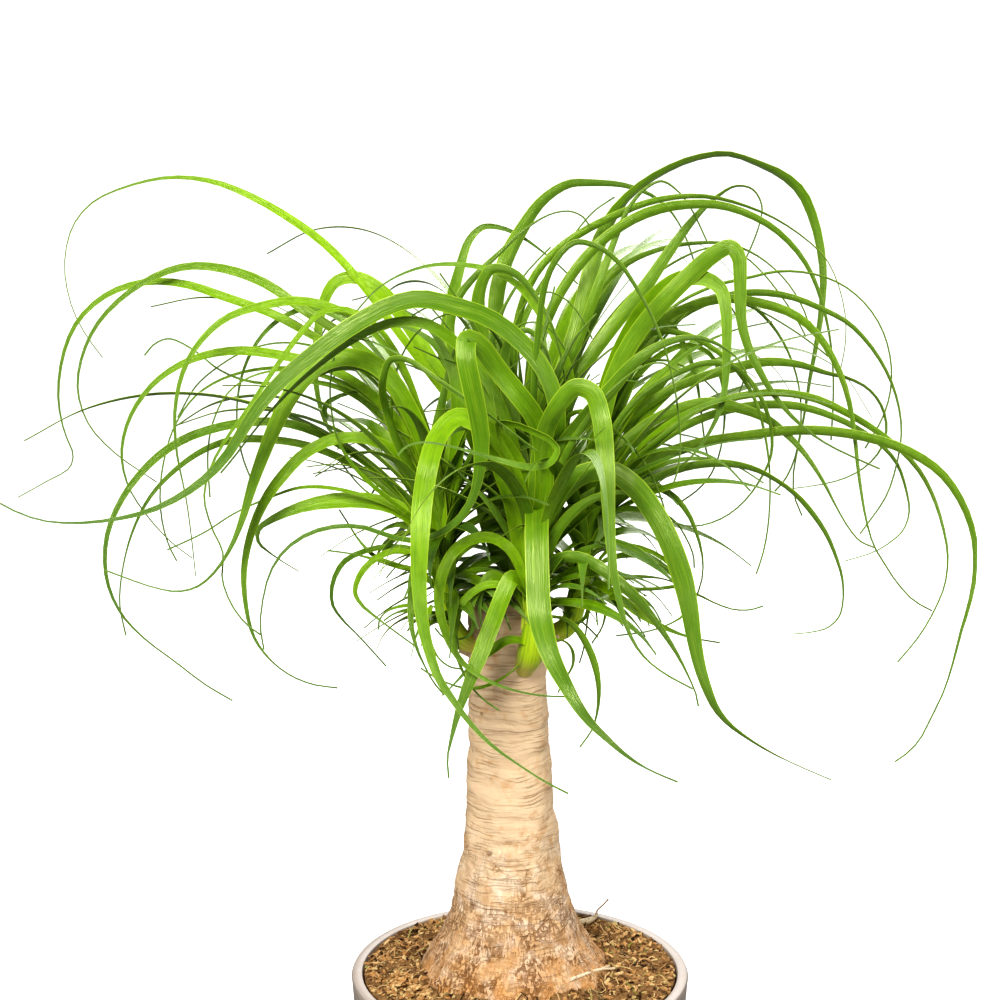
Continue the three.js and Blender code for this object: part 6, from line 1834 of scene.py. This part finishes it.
class Blades:
    """Straight masters and the bending of their copies along routes."""

    @staticmethod
    def name_map(master: bpy.types.Object) -> None:
        """Names the map that a master's faces lie on."""
        maps = master.data.uv_layers
        (maps[0] if maps else maps.new()).name = BLADE_MAP

    @staticmethod
    def flat_master(name: str, stations: int) -> bpy.types.Object:
        """A straight thin blade: across in X, along in Y, faces at Z of plus and minus one.

        Args:
            name: Name of the blade.
            stations: Rows of faces along it.

        Returns:
            The blade.
        """
        Bench.clear()
        bpy.ops.mesh.primitive_grid_add(x_subdivisions=BLADE_STRIPS, y_subdivisions=stations, size=2.0)
        master = Bench.settle(bpy.context.active_object, name)
        Blades.name_map(master)
        Bench.apply(master, "SOLIDIFY", thickness=2.0, offset=0.0)
        return master

    @staticmethod
    def round_master(name: str, sides: int, stations: int) -> bpy.types.Object:
        """A straight round stalk: along in Y from minus one to one, radius one.

        Args:
            name: Name of the stalk.
            sides: Corners round it.
            stations: Rows of faces along it.

        Returns:
            The stalk.
        """
        Bench.clear()
        bpy.ops.mesh.primitive_circle_add(
            vertices=sides, radius=1.0, fill_type="NGON", location=(0, -1, 0), rotation=(math.pi / 2, 0, 0)
        )
        master = Bench.settle(bpy.context.active_object, name)
        bpy.ops.object.mode_set(mode="EDIT")
        bpy.ops.mesh.select_all(action="SELECT")
        for _ in range(stations):
            bpy.ops.mesh.extrude_region_move(TRANSFORM_OT_translate={"value": (0, 2 / stations, 0)})
        bpy.ops.mesh.select_all(action="SELECT")
        bpy.ops.mesh.normals_make_consistent(inside=False)
        bpy.ops.object.mode_set(mode="OBJECT")
        Blades.name_map(master)
        return master

    @staticmethod
    def bend(
        piece: bpy.types.Object,
        path: Path,
        size: Callable[[float], tuple[float, float]],
        sides: np.ndarray | None = None,
        channel: Callable[[float], float] | None = None,
    ) -> np.ndarray:
        """Bends a straight copy along a path.

        Args:
            piece: The copy, along Y from minus one to one.
            path: Stations, as many as the copy has along it.
            size: Half width and half depth at a share of the length, in millimetres.
            sides: Sideways direction at each station, level unless given.
            channel: How far the edges stand above the middle at a share of the length, if they do.

        Returns:
            For each corner: its station, and its place across and in depth before bending.
        """
        if sides is None:
            sides = path.sides([0, 0], Side.LEVEL)
        local = Bench.corners(piece)
        station = np.rint((local[:, 1] + 1) / 2 * path.count).astype(int)
        normals = np.cross(path.headings, sides)
        sizes = np.array([size(share) for share in path.shares])
        across = local[:, 0]
        depth = local[:, 2] * sizes[station, 1]
        if channel is not None:
            rise = np.array([channel(share) for share in path.shares])
            depth = depth * (1 - BLADE_EDGE_THINNING * across**4)
            depth = depth + rise[station] * (np.abs(across) ** BLADE_CHANNEL_POWER - BLADE_CHANNEL_DROP)
        places = (
            path.places[station]
            + sides[station] * (across * sizes[station, 0])[:, None]
            + normals[station] * depth[:, None]
        )
        Bench.place_corners(piece, places * MM)
        return np.stack([station, across, local[:, 2]], 1)

    @staticmethod
    def map_lengthwise(piece: bpy.types.Object, corners: np.ndarray, path: Path, width: float) -> None:
        """Lays the piece's map: across from 0 to 1, and along in widths.

        Args:
            piece: The bent piece.
            corners: Station and place across of each corner.
            path: Stations of the piece.
            width: Width in millimetres.
        """
        loops = np.empty(len(piece.data.loops), int)
        piece.data.loops.foreach_get("vertex_index", loops)
        across = (corners[loops, 1] + 1) / 2
        lengthwise = path.shares[corners[loops, 0].astype(int)] * path.length / width
        flat = np.stack([across, lengthwise], 1).astype(np.float32).ravel()
        piece.data.uv_layers[BLADE_MAP].data.foreach_set("uv", flat)


@dataclass
class Trunk:
    """Swollen ring-scarred trunk with its cut top and cut stubs.

    Each lobe is a height, a count round the trunk and a climb, each lump a height, a squash and a size.
    """

    sides: int = 40
    ring_step: float = 6.0
    lobes: tuple = ((0.018, 3, 0.02), (0.01, 7, -0.05))
    lumps: tuple = ((0.9, 1.6, 13.0), (0.35, 2.5, 4.0))
    scar_spacing: float = 5.6
    scar_swing: float = 1.2
    scar_wander: float = 1.6
    scar_depth: float = 0.75
    rib_height: float = 1.5
    ribs_below: float = 165.0
    ribs_ease: float = 40.0
    cut_profile: tuple = ((0.93, 0.4), (0.5, -0.3), (0.15, -0.8))
    cut_lump: float = 0.5
    side_share: float = 0.96
    stub_rows: int = 6
    stub_sides: int = 16
    stub_bevel: float = 0.4

    def scarred(self, x: float, y: float, z: float) -> tuple[float, float]:
        """Place of a side corner with lobes, ring scars and lumps.

        Args:
            x: Place to the right before, in millimetres.
            y: Place away from the viewer before.
            z: Height.

        Returns:
            Place to the right and place away from the viewer.
        """
        radius, shift = trunk_at(z)
        angle = math.atan2(y, x - shift)
        lobe = sum((rise * math.sin(count * angle + z * climb) for rise, count, climb in self.lobes), 1)
        wobble = z + self.scar_wander * relief(x, y, z, 30.0)
        spacing = self.scar_spacing + self.scar_swing * math.sin(z * 0.03)
        scar = abs(math.sin(wobble * math.pi / spacing)) ** 0.5
        lump = sum(rise * relief(x, y, z * squash, size) for rise, squash, size in self.lumps)
        low = max(0.0, min(1.0, (self.ribs_below - z) / self.ribs_ease))
        ribs = self.rib_height * low * relief(math.cos(angle) * 40, math.sin(angle) * 40, z * 0.25, 7.0)
        reach = radius * lobe + self.scar_depth * (scar - 0.75) + lump + ribs
        return shift + reach * math.cos(angle), reach * math.sin(angle)

    def build_stem(self, finish: bpy.types.Material) -> bpy.types.Object:
        """The trunk, extruded ring by ring and then scarred.

        Args:
            finish: Finish of the bark.

        Returns:
            The stem.
        """
        low, high = TRUNK_PROFILE[0][0], TRUNK_PROFILE[-1][0]
        count = round((high - low) / self.ring_step)
        heights = [low + (high - low) * n / count for n in range(count + 1)]
        profile = [(trunk_at(z)[0], z, trunk_at(z)[1]) for z in heights]
        top, shift = trunk_at(high)
        profile += [(top * share, high + rise, shift) for share, rise in self.cut_profile]
        stem = Bench.rings("trunk_stem", self.sides, profile)
        Bench.apply(stem, "SUBSURF", levels=2, render_levels=2)
        places = Bench.corners(stem) / MM
        for n, (x, y, z) in enumerate(places):
            radius, axis = trunk_at(z)
            if math.hypot(x - axis, y) > radius * self.side_share and low + 2 < z:
                places[n][0], places[n][1] = self.scarred(x, y, z)
            elif z > high - 3:
                places[n][2] = z + self.cut_lump * relief(x, y, 0.0, 5.0)
        Bench.place_corners(stem, places * MM)
        stem.data.materials.append(finish)
        Bench.smooth(stem, 60)
        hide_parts("trunk")
        return stem

    def build_stubs(self, finish: bpy.types.Material) -> bpy.types.Object:
        """Two cut stubs.

        Args:
            finish: Finish of the bark.

        Returns:
            The joined stubs.
        """
        master = Blades.round_master("stub", self.stub_sides, self.stub_rows)
        copies = []
        for foot, end, radius in TRUNK_STUBS:
            points = np.array([foot, (np.array(foot) + np.array(end)) / 2, end], float)
            path = Path(points, self.stub_rows)
            stub = Bench.copy(master)
            Blades.bend(stub, path, lambda share, r=radius: (r - share, r - share))
            copies.append(stub)
        bpy.data.objects.remove(master)
        stubs = Bench.join(copies, "trunk_stubs")
        Bench.apply(stubs, "BEVEL", width=self.stub_bevel * MM, segments=2, limit_method="ANGLE")
        stubs.data.materials.append(finish)
        Bench.smooth(stubs, 40)
        return stubs

    def build(self, finish: bpy.types.Material) -> list[bpy.types.Object]:
        """Makes the stem and its stubs."""
        return [self.build_stem(finish), self.build_stubs(finish)]


@dataclass
class Shoot:
    """One leafy shoot: its swollen foot and its blades, whose bases clasp the foot."""

    name: str
    leaves: list[Leaf]
    box: np.ndarray
    blade_depth: float = 0.26
    blade_thinning: float = 0.4
    foot_share: float = 0.88
    core_share: float = 0.55
    core_from: float = 0.55
    core_power: float = 0.6
    close_from: float = 0.8
    closing: float = 3
    foot_width: float = 16.0
    clasp_share: float = 0.38
    clasp_length: float = 30.0
    clasp_rise: float = 0.4
    channel_rise: float = 0.42
    channel_loss: float = 0.27
    root_from: float = 0.35
    root_spread: float = 0.85
    root_shuffle: float = 7
    root_clear: float = 4
    ease_depth: float = 0.03
    short_rows: int = 24
    long_rows: int = 52
    long_from: float = 150.0
    foot_rows: int = 40

    def axis(self) -> np.ndarray:
        """Points of the shoot's axis."""
        return np.array([sight_point(*row[:3]) for row in SHOOTS[self.name]])

    def build_foot(self, finish: bpy.types.Material) -> bpy.types.Object:
        """The pale foot that the leaves clasp.

        Args:
            finish: Finish of the foot.

        Returns:
            The foot.
        """
        path = Path(self.axis()[:4], self.foot_rows)
        radii = [row[3] for row in SHOOTS[self.name][:4]]
        foot = Blades.round_master(f"shoot_{self.name}_foot", 24, self.foot_rows)

        def size(share: float) -> tuple[float, float]:
            """Radius of the foot, full at the bulb and slim inside the leaves.

            Args:
                share: Share of the length.

            Returns:
                The radius in millimetres, twice.
            """
            full = max(0.0, 1 - share / self.core_from) ** self.core_power
            slim = self.core_share + (self.foot_share - self.core_share) * full
            return (along(radii, share) * slim * (1 - max(0.0, share - self.close_from) * self.closing),) * 2

        corners = Blades.bend(foot, path, size, path.sides([90, 90], Side.LEVEL))
        shares = path.shares[corners[:, 0].astype(int)]
        rest = np.ones(len(shares))
        Bench.paint(foot, "blade", np.stack([shares, rest * 0.5, rest, rest], 1))
        around = corners.copy()
        around[:, 1] = np.arctan2(corners[:, 2], corners[:, 1]) / math.pi
        Blades.map_lengthwise(foot, around, path, self.foot_width)
        foot.data.materials.append(finish)
        Bench.smooth(foot, 50)
        return foot

    def rooted(self, leaf: Leaf) -> tuple[np.ndarray, float, np.ndarray]:
        """Leads a leaf's foot down to the bulb.

        Args:
            leaf: The leaf.

        Returns:
            Its points with the new foot, the length of the lead, and the direction away from the axis.
        """
        axis = self.axis()
        reach = min(len(leaf.points) - 1, 3)
        outward = (leaf.points[reach] - axis[2]) * np.array([1, 1, 0])
        outward = outward / max(np.linalg.norm(outward), 1e-6)
        height = self.root_from + self.root_spread * ((leaf.tone * self.root_shuffle) % 1)
        radius = SHOOTS[self.name][2][3] * self.clasp_share
        base = axis[1] + (axis[2] - axis[1]) * height + outward * radius
        first, second = leaf.points[0], leaf.points[1]
        if first[2] < base[2] + self.root_clear:
            return leaf.points, 0.0, outward
        down = np.linalg.norm(first - base)
        part = down / (down + np.linalg.norm(second - first))
        softened = (first + base + (second - base) * part) / 2
        points = np.vstack([base, softened, leaf.points[1:]])
        return points, float(np.linalg.norm(softened - base)), outward

    def clasped(self, path: Path, sides: np.ndarray, outward: np.ndarray) -> np.ndarray:
        """Turns the blade's foot so that it lies round the shoot.

        Args:
            path: Stations of the leaf.
            sides: Sideways directions of the leaf.
            outward: Direction away from the shoot's axis.

        Returns:
            The turned directions.
        """
        round_axis = np.cross(path.headings[0], outward)
        round_axis = round_axis / max(np.linalg.norm(round_axis), 1e-6)
        clear = path.lead + self.clasp_length
        beyond = int(np.searchsorted(path.shares * path.length, clear))
        if round_axis @ sides[min(beyond, path.count)] < 0:
            round_axis = -round_axis
        part = np.clip(path.shares * path.length / clear, 0, 1)[:, None]
        part = part * part * (3 - 2 * part)
        turned = round_axis * (1 - part) + sides * part
        turned -= path.headings * (turned * path.headings).sum(1)[:, None]
        return turned / np.linalg.norm(turned, axis=1)[:, None]

    def kept_inside(self, places: np.ndarray) -> np.ndarray:
        """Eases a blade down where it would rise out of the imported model's box.

        Args:
            places: Corners of the blade in metres.

        Returns:
            The corners inside the box.
        """
        top = places[:, 2].max()
        near = np.clip(1 - (top - places[:, 2]) / self.ease_depth, 0, 1)
        drop = max(0.0, top - self.box[1][2]) * near * near * (3 - 2 * near)
        return np.clip(places - np.outer(drop, [0, 0, 1]), self.box[0], self.box[1])

    def build_blade(self, leaf: Leaf, master: bpy.types.Object, stations: int) -> bpy.types.Object:
        """One leaf: a copy of the straight blade, bent along its route.

        Args:
            leaf: The leaf.
            master: The straight blade.
            stations: Stations along the straight blade.

        Returns:
            The blade.
        """
        points, lead, outward = self.rooted(leaf)
        path = Path(points, stations, lead)
        sides = self.clasped(path, path.sides(leaf.turns, leaf.side), outward)
        upward = np.cross(path.headings, sides)[:, 2].sum()
        blade = Bench.copy(master)
        top = 1.0 if upward >= 0 else -1.0
        grown = dict(zip(path.shares, path.grown))

        def size(share: float) -> tuple[float, float]:
            """Half width and half thickness."""
            return leaf.half_width(grown[share]), self.blade_depth * (1 - self.blade_thinning * share)

        def channel(share: float) -> float:
            """Rise of the edges, which clasp the shoot at the foot and flatten towards the tip.

            Args:
                share: Share of the length.

            Returns:
                The rise in millimetres.
            """
            clasp = max(0.0, 1 - share * path.length / (lead + self.clasp_length))
            rise = self.channel_rise - self.channel_loss * share + self.clasp_rise * clasp
            return top * leaf.half_width(grown[share]) * rise

        corners = Blades.bend(blade, path, size, sides, channel)
        Bench.place_corners(blade, self.kept_inside(Bench.corners(blade)))
        shares = path.shares[corners[:, 0].astype(int)]
        upper = (corners[:, 2] * top > 0).astype(float)
        rest = np.ones(len(shares))
        Bench.paint(blade, "blade", np.stack([shares, rest * leaf.tone, upper, rest], 1))
        Blades.map_lengthwise(blade, corners, path, leaf.width)
        return blade

    def build(
        self, leaf_finish: bpy.types.Material, foot_finish: bpy.types.Material
    ) -> list[bpy.types.Object]:
        """Makes the foot and the joined blades.

        Args:
            leaf_finish: Finish of the blades.
            foot_finish: Finish of the foot.

        Returns:
            Both pieces.
        """
        masters = {count: Blades.flat_master("blade", count) for count in (self.short_rows, self.long_rows)}
        blades = []
        for leaf in self.leaves:
            reach = np.linalg.norm(np.diff(leaf.points, axis=0), axis=1).sum()
            count = self.long_rows if reach > self.long_from else self.short_rows
            blades.append(self.build_blade(leaf, masters[count], count))
        for master in masters.values():
            bpy.data.objects.remove(master)
        joined = Bench.join(blades, f"shoot_{self.name}_leaves")
        joined.data.materials.append(leaf_finish)
        Bench.smooth(joined, 45)
        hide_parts(f"shoot_{self.name}")
        return [joined, self.build_foot(foot_finish)]


@dataclass
class DryBits:
    """Straw and twig that lie on the soil."""

    stalk_rows: int = 14
    stalk_sides: int = 10
    thins_from: float = 0.3
    thins_by: float = 3
    withers_from: float = 0.4
    withers_by: float = 4
    straw_radius: float = 0.85
    straw_thinning: float = 0.3
    twig_radius: float = 1.7
    twig_thinning: float = 0.72

    def build_bit(self, name: str, routes: list[Route], radius: float, thinning: float) -> bpy.types.Object:
        """Joins the stalks of one bit.

        Args:
            name: Name of the piece.
            routes: Points of each stalk.
            radius: Radius at the foot.
            thinning: Share of the radius that is lost towards the tip.

        Returns:
            The piece.
        """
        master = Blades.round_master("stalk", self.stalk_sides, self.stalk_rows)
        stalks = []
        for route in routes:
            path = Path(np.array([sight_point(*row) for row in route]), self.stalk_rows)
            stalk = Bench.copy(master)

            def size(share: float) -> tuple[float, float]:
                """Half width and half thickness.

                Args:
                    share: Share of the length.

                Returns:
                    The radius in millimetres, twice.
                """
                past = min(1.0, max(0.0, share - self.thins_from) * self.thins_by)
                thick = radius * (1 - thinning * past)
                return thick, thick

            corners = Blades.bend(stalk, path, size)
            tips = path.shares[corners[:, 0].astype(int)]
            rest = np.ones(len(tips))
            withered = np.clip((tips - self.withers_from) * self.withers_by, 0, 1) * thinning
            Bench.paint(stalk, "withered", np.stack([withered, rest, rest, rest], 1))
            stalks.append(stalk)
        bpy.data.objects.remove(master)
        return Bench.join(stalks, name)

    def build(self, finish: bpy.types.Material) -> list[bpy.types.Object]:
        """Makes both bits.

        Args:
            finish: Finish of the dry stalks.

        Returns:
            Both pieces.
        """
        straw = self.build_bit("straw_stalks", STRAW, self.straw_radius, self.straw_thinning)
        twig = self.build_bit("twig_stub", TWIG, self.twig_radius, self.twig_thinning)
        for piece, node in ((straw, "straw"), (twig, "twig")):
            piece.data.materials.append(finish)
            Bench.smooth(piece, 50)
            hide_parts(node)
        return [straw, twig]


@dataclass
class Studio:
    """Pale floor that brightens away from the plant and is swept up all round, lights and the camera.

    Sizes are in metres, and each light is a place, a width and a power in watts.
    """

    floor_radius: float = 4.5
    sweep_height: float = 3.5
    sweep_bend: float = 1.0
    sweep_steps: int = 12
    near: float = 0.12
    far: float = 0.40
    near_glow: float = 0.2
    far_glow: float = 1.0
    paper: Finish = Finish("studio_paper", 0.9, 0.0, 0.0, 0.0)
    paper_grey: Colour = (0.5, 0.5, 0.5, 1)
    white: Colour = (1, 1, 1, 1)
    fill_light: float = 0.32
    lights: tuple = (((-0.5, -1.45, 1.3), 0.7, 42), ((1.4, -0.7, 0.9), 0.8, 11), ((0.3, 1.4, 1.3), 1.2, 26))
    aim_height: float = 0.33

    def build_floor(self) -> bpy.types.Object:
        """A round floor, extruded outwards from a small disc and then up, that only the camera sees.

        Returns:
            The floor.
        """
        Bench.clear()
        bpy.ops.mesh.primitive_circle_add(vertices=64, radius=self.far, fill_type="NGON")
        floor = Bench.settle(bpy.context.active_object, "studio_floor")
        bpy.ops.object.mode_set(mode="EDIT")
        bpy.ops.mesh.select_all(action="SELECT")
        bpy.ops.mesh.inset(thickness=self.far - self.near)
        bpy.ops.mesh.select_all(action="SELECT")
        bpy.ops.mesh.region_to_loop()
        bpy.ops.mesh.extrude_edges_move()
        grow = self.floor_radius / self.far
        bpy.ops.transform.resize(value=(grow, grow, 1), center_override=(0, 0, 0))
        bpy.ops.mesh.extrude_edges_move(TRANSFORM_OT_translate={"value": (0, 0, self.sweep_height)})
        bpy.ops.object.mode_set(mode="OBJECT")
        Bench.apply(floor, "BEVEL", width=self.sweep_bend, segments=self.sweep_steps, limit_method="ANGLE")
        Bench.smooth(floor, 60)
        floor.data.materials.append(self.build_paper())
        for rays in ("diffuse", "glossy", "transmission", "shadow"):
            setattr(floor, f"visible_{rays}", False)
        floor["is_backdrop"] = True
        return floor

    def build_paper(self) -> bpy.types.Material:
        """Pale paper, plain near the plant and bright as a backdrop further out.

        Returns:
            The material.
        """
        material, painter, shader = self.paper.start()
        material.cycles.emission_sampling = "NONE"
        shader.inputs["Base Color"].default_value = self.paper_grey
        shader.inputs["Emission Color"].default_value = self.white
        reach = painter.add("ShaderNodeVectorMath", {0: painter.place()}, operation="LENGTH").outputs["Value"]
        glow = painter.span(reach, self.near, self.far, self.near_glow, self.far_glow)
        painter.feed(glow, shader.inputs["Emission Strength"])
        return material

    def add_light(self, place: tuple[float, float, float], size: float, power: float) -> None:
        """A square soft light that faces the crown.

        Args:
            place: Its place in metres.
            size: Its width in metres.
            power: Its power in watts.
        """
        Bench.clear()
        bpy.ops.object.light_add(type="AREA", location=place)
        light = bpy.context.active_object
        light.data.size = size
        light.data.energy = power
        aim = Vector((0, 0, self.aim_height)) - Vector(place)
        light.rotation_euler = aim.to_track_quat("-Z", "Y").to_euler()

    def build_world(self) -> None:
        """Soft white light from all round.

        It lights the plant as a pale room would, because the floor sheds no light of its own.
        """
        world = bpy.data.worlds.new("studio_light")
        world.use_nodes = True
        background = world.node_tree.nodes["Background"]
        background.inputs["Color"].default_value = self.white
        background.inputs["Strength"].default_value = self.fill_light
        bpy.context.scene.world = world

    def build(self) -> None:
        """Lights the stage and sets the camera.

        The camera stands at the viewpoint that the leaf routes are read from.
        """
        self.build_floor()
        self.build_world()
        for light in self.lights:
            self.add_light(*light)
        bpy.context.scene.view_settings.view_transform = "Standard"
        bpy.context.scene.view_settings.look = "Medium High Contrast"
        Bench.clear()
        pitch = math.radians(90 - CAMERA_PITCH)
        bpy.ops.object.camera_add(location=tuple(EYE * MM), rotation=(pitch, 0, 0))
        camera = bpy.context.active_object
        camera.data.lens = CAMERA_LENS
        camera.data.sensor_width = CAMERA_SENSOR
        bpy.context.scene.camera = camera


def corners_of_box() -> list[list[float]]:
    """Lowest and highest corner of what is shown."""
    return [list(corner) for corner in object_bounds()]


def main() -> None:
    """Builds each sub-assembly in order and reports its pieces.
    """
    logging.basicConfig(level=logging.INFO, format="%(name)s: %(message)s")
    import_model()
    sizes = {"cad": corners_of_box()}
    box = np.array(sizes["cad"]) + np.array([[BOX_MARGIN], [-BOX_MARGIN]]) * MM
    streaks = Effects.streaks()
    mottle = Effects.mottle()
    bark = BarkFinish().build(streaks, mottle)
    blade = LeafFinish().build(streaks)
    sheath = SheathFinish().build(streaks)
    pieces = Pot().build(PlasticFinish().build(streaks, mottle))
    pieces += Soil().build(SoilFinish().build(mottle))
    pieces += Trunk().build(bark)
    leaves = LeafList.build()
    for name in SHOOTS:
        shoot = Shoot(name, [leaf for leaf in leaves if leaf.shoot == name], box)
        pieces += shoot.build(blade, sheath)
    pieces += DryBits().build(DryFinish().build(streaks))
    for piece in pieces:
        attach(piece, "root")
        LOG.info("%s has %d corners", piece.name, len(piece.data.vertices))
    Studio().build()
    sizes["visual"] = corners_of_box()


if __name__ == "__main__":
    main()
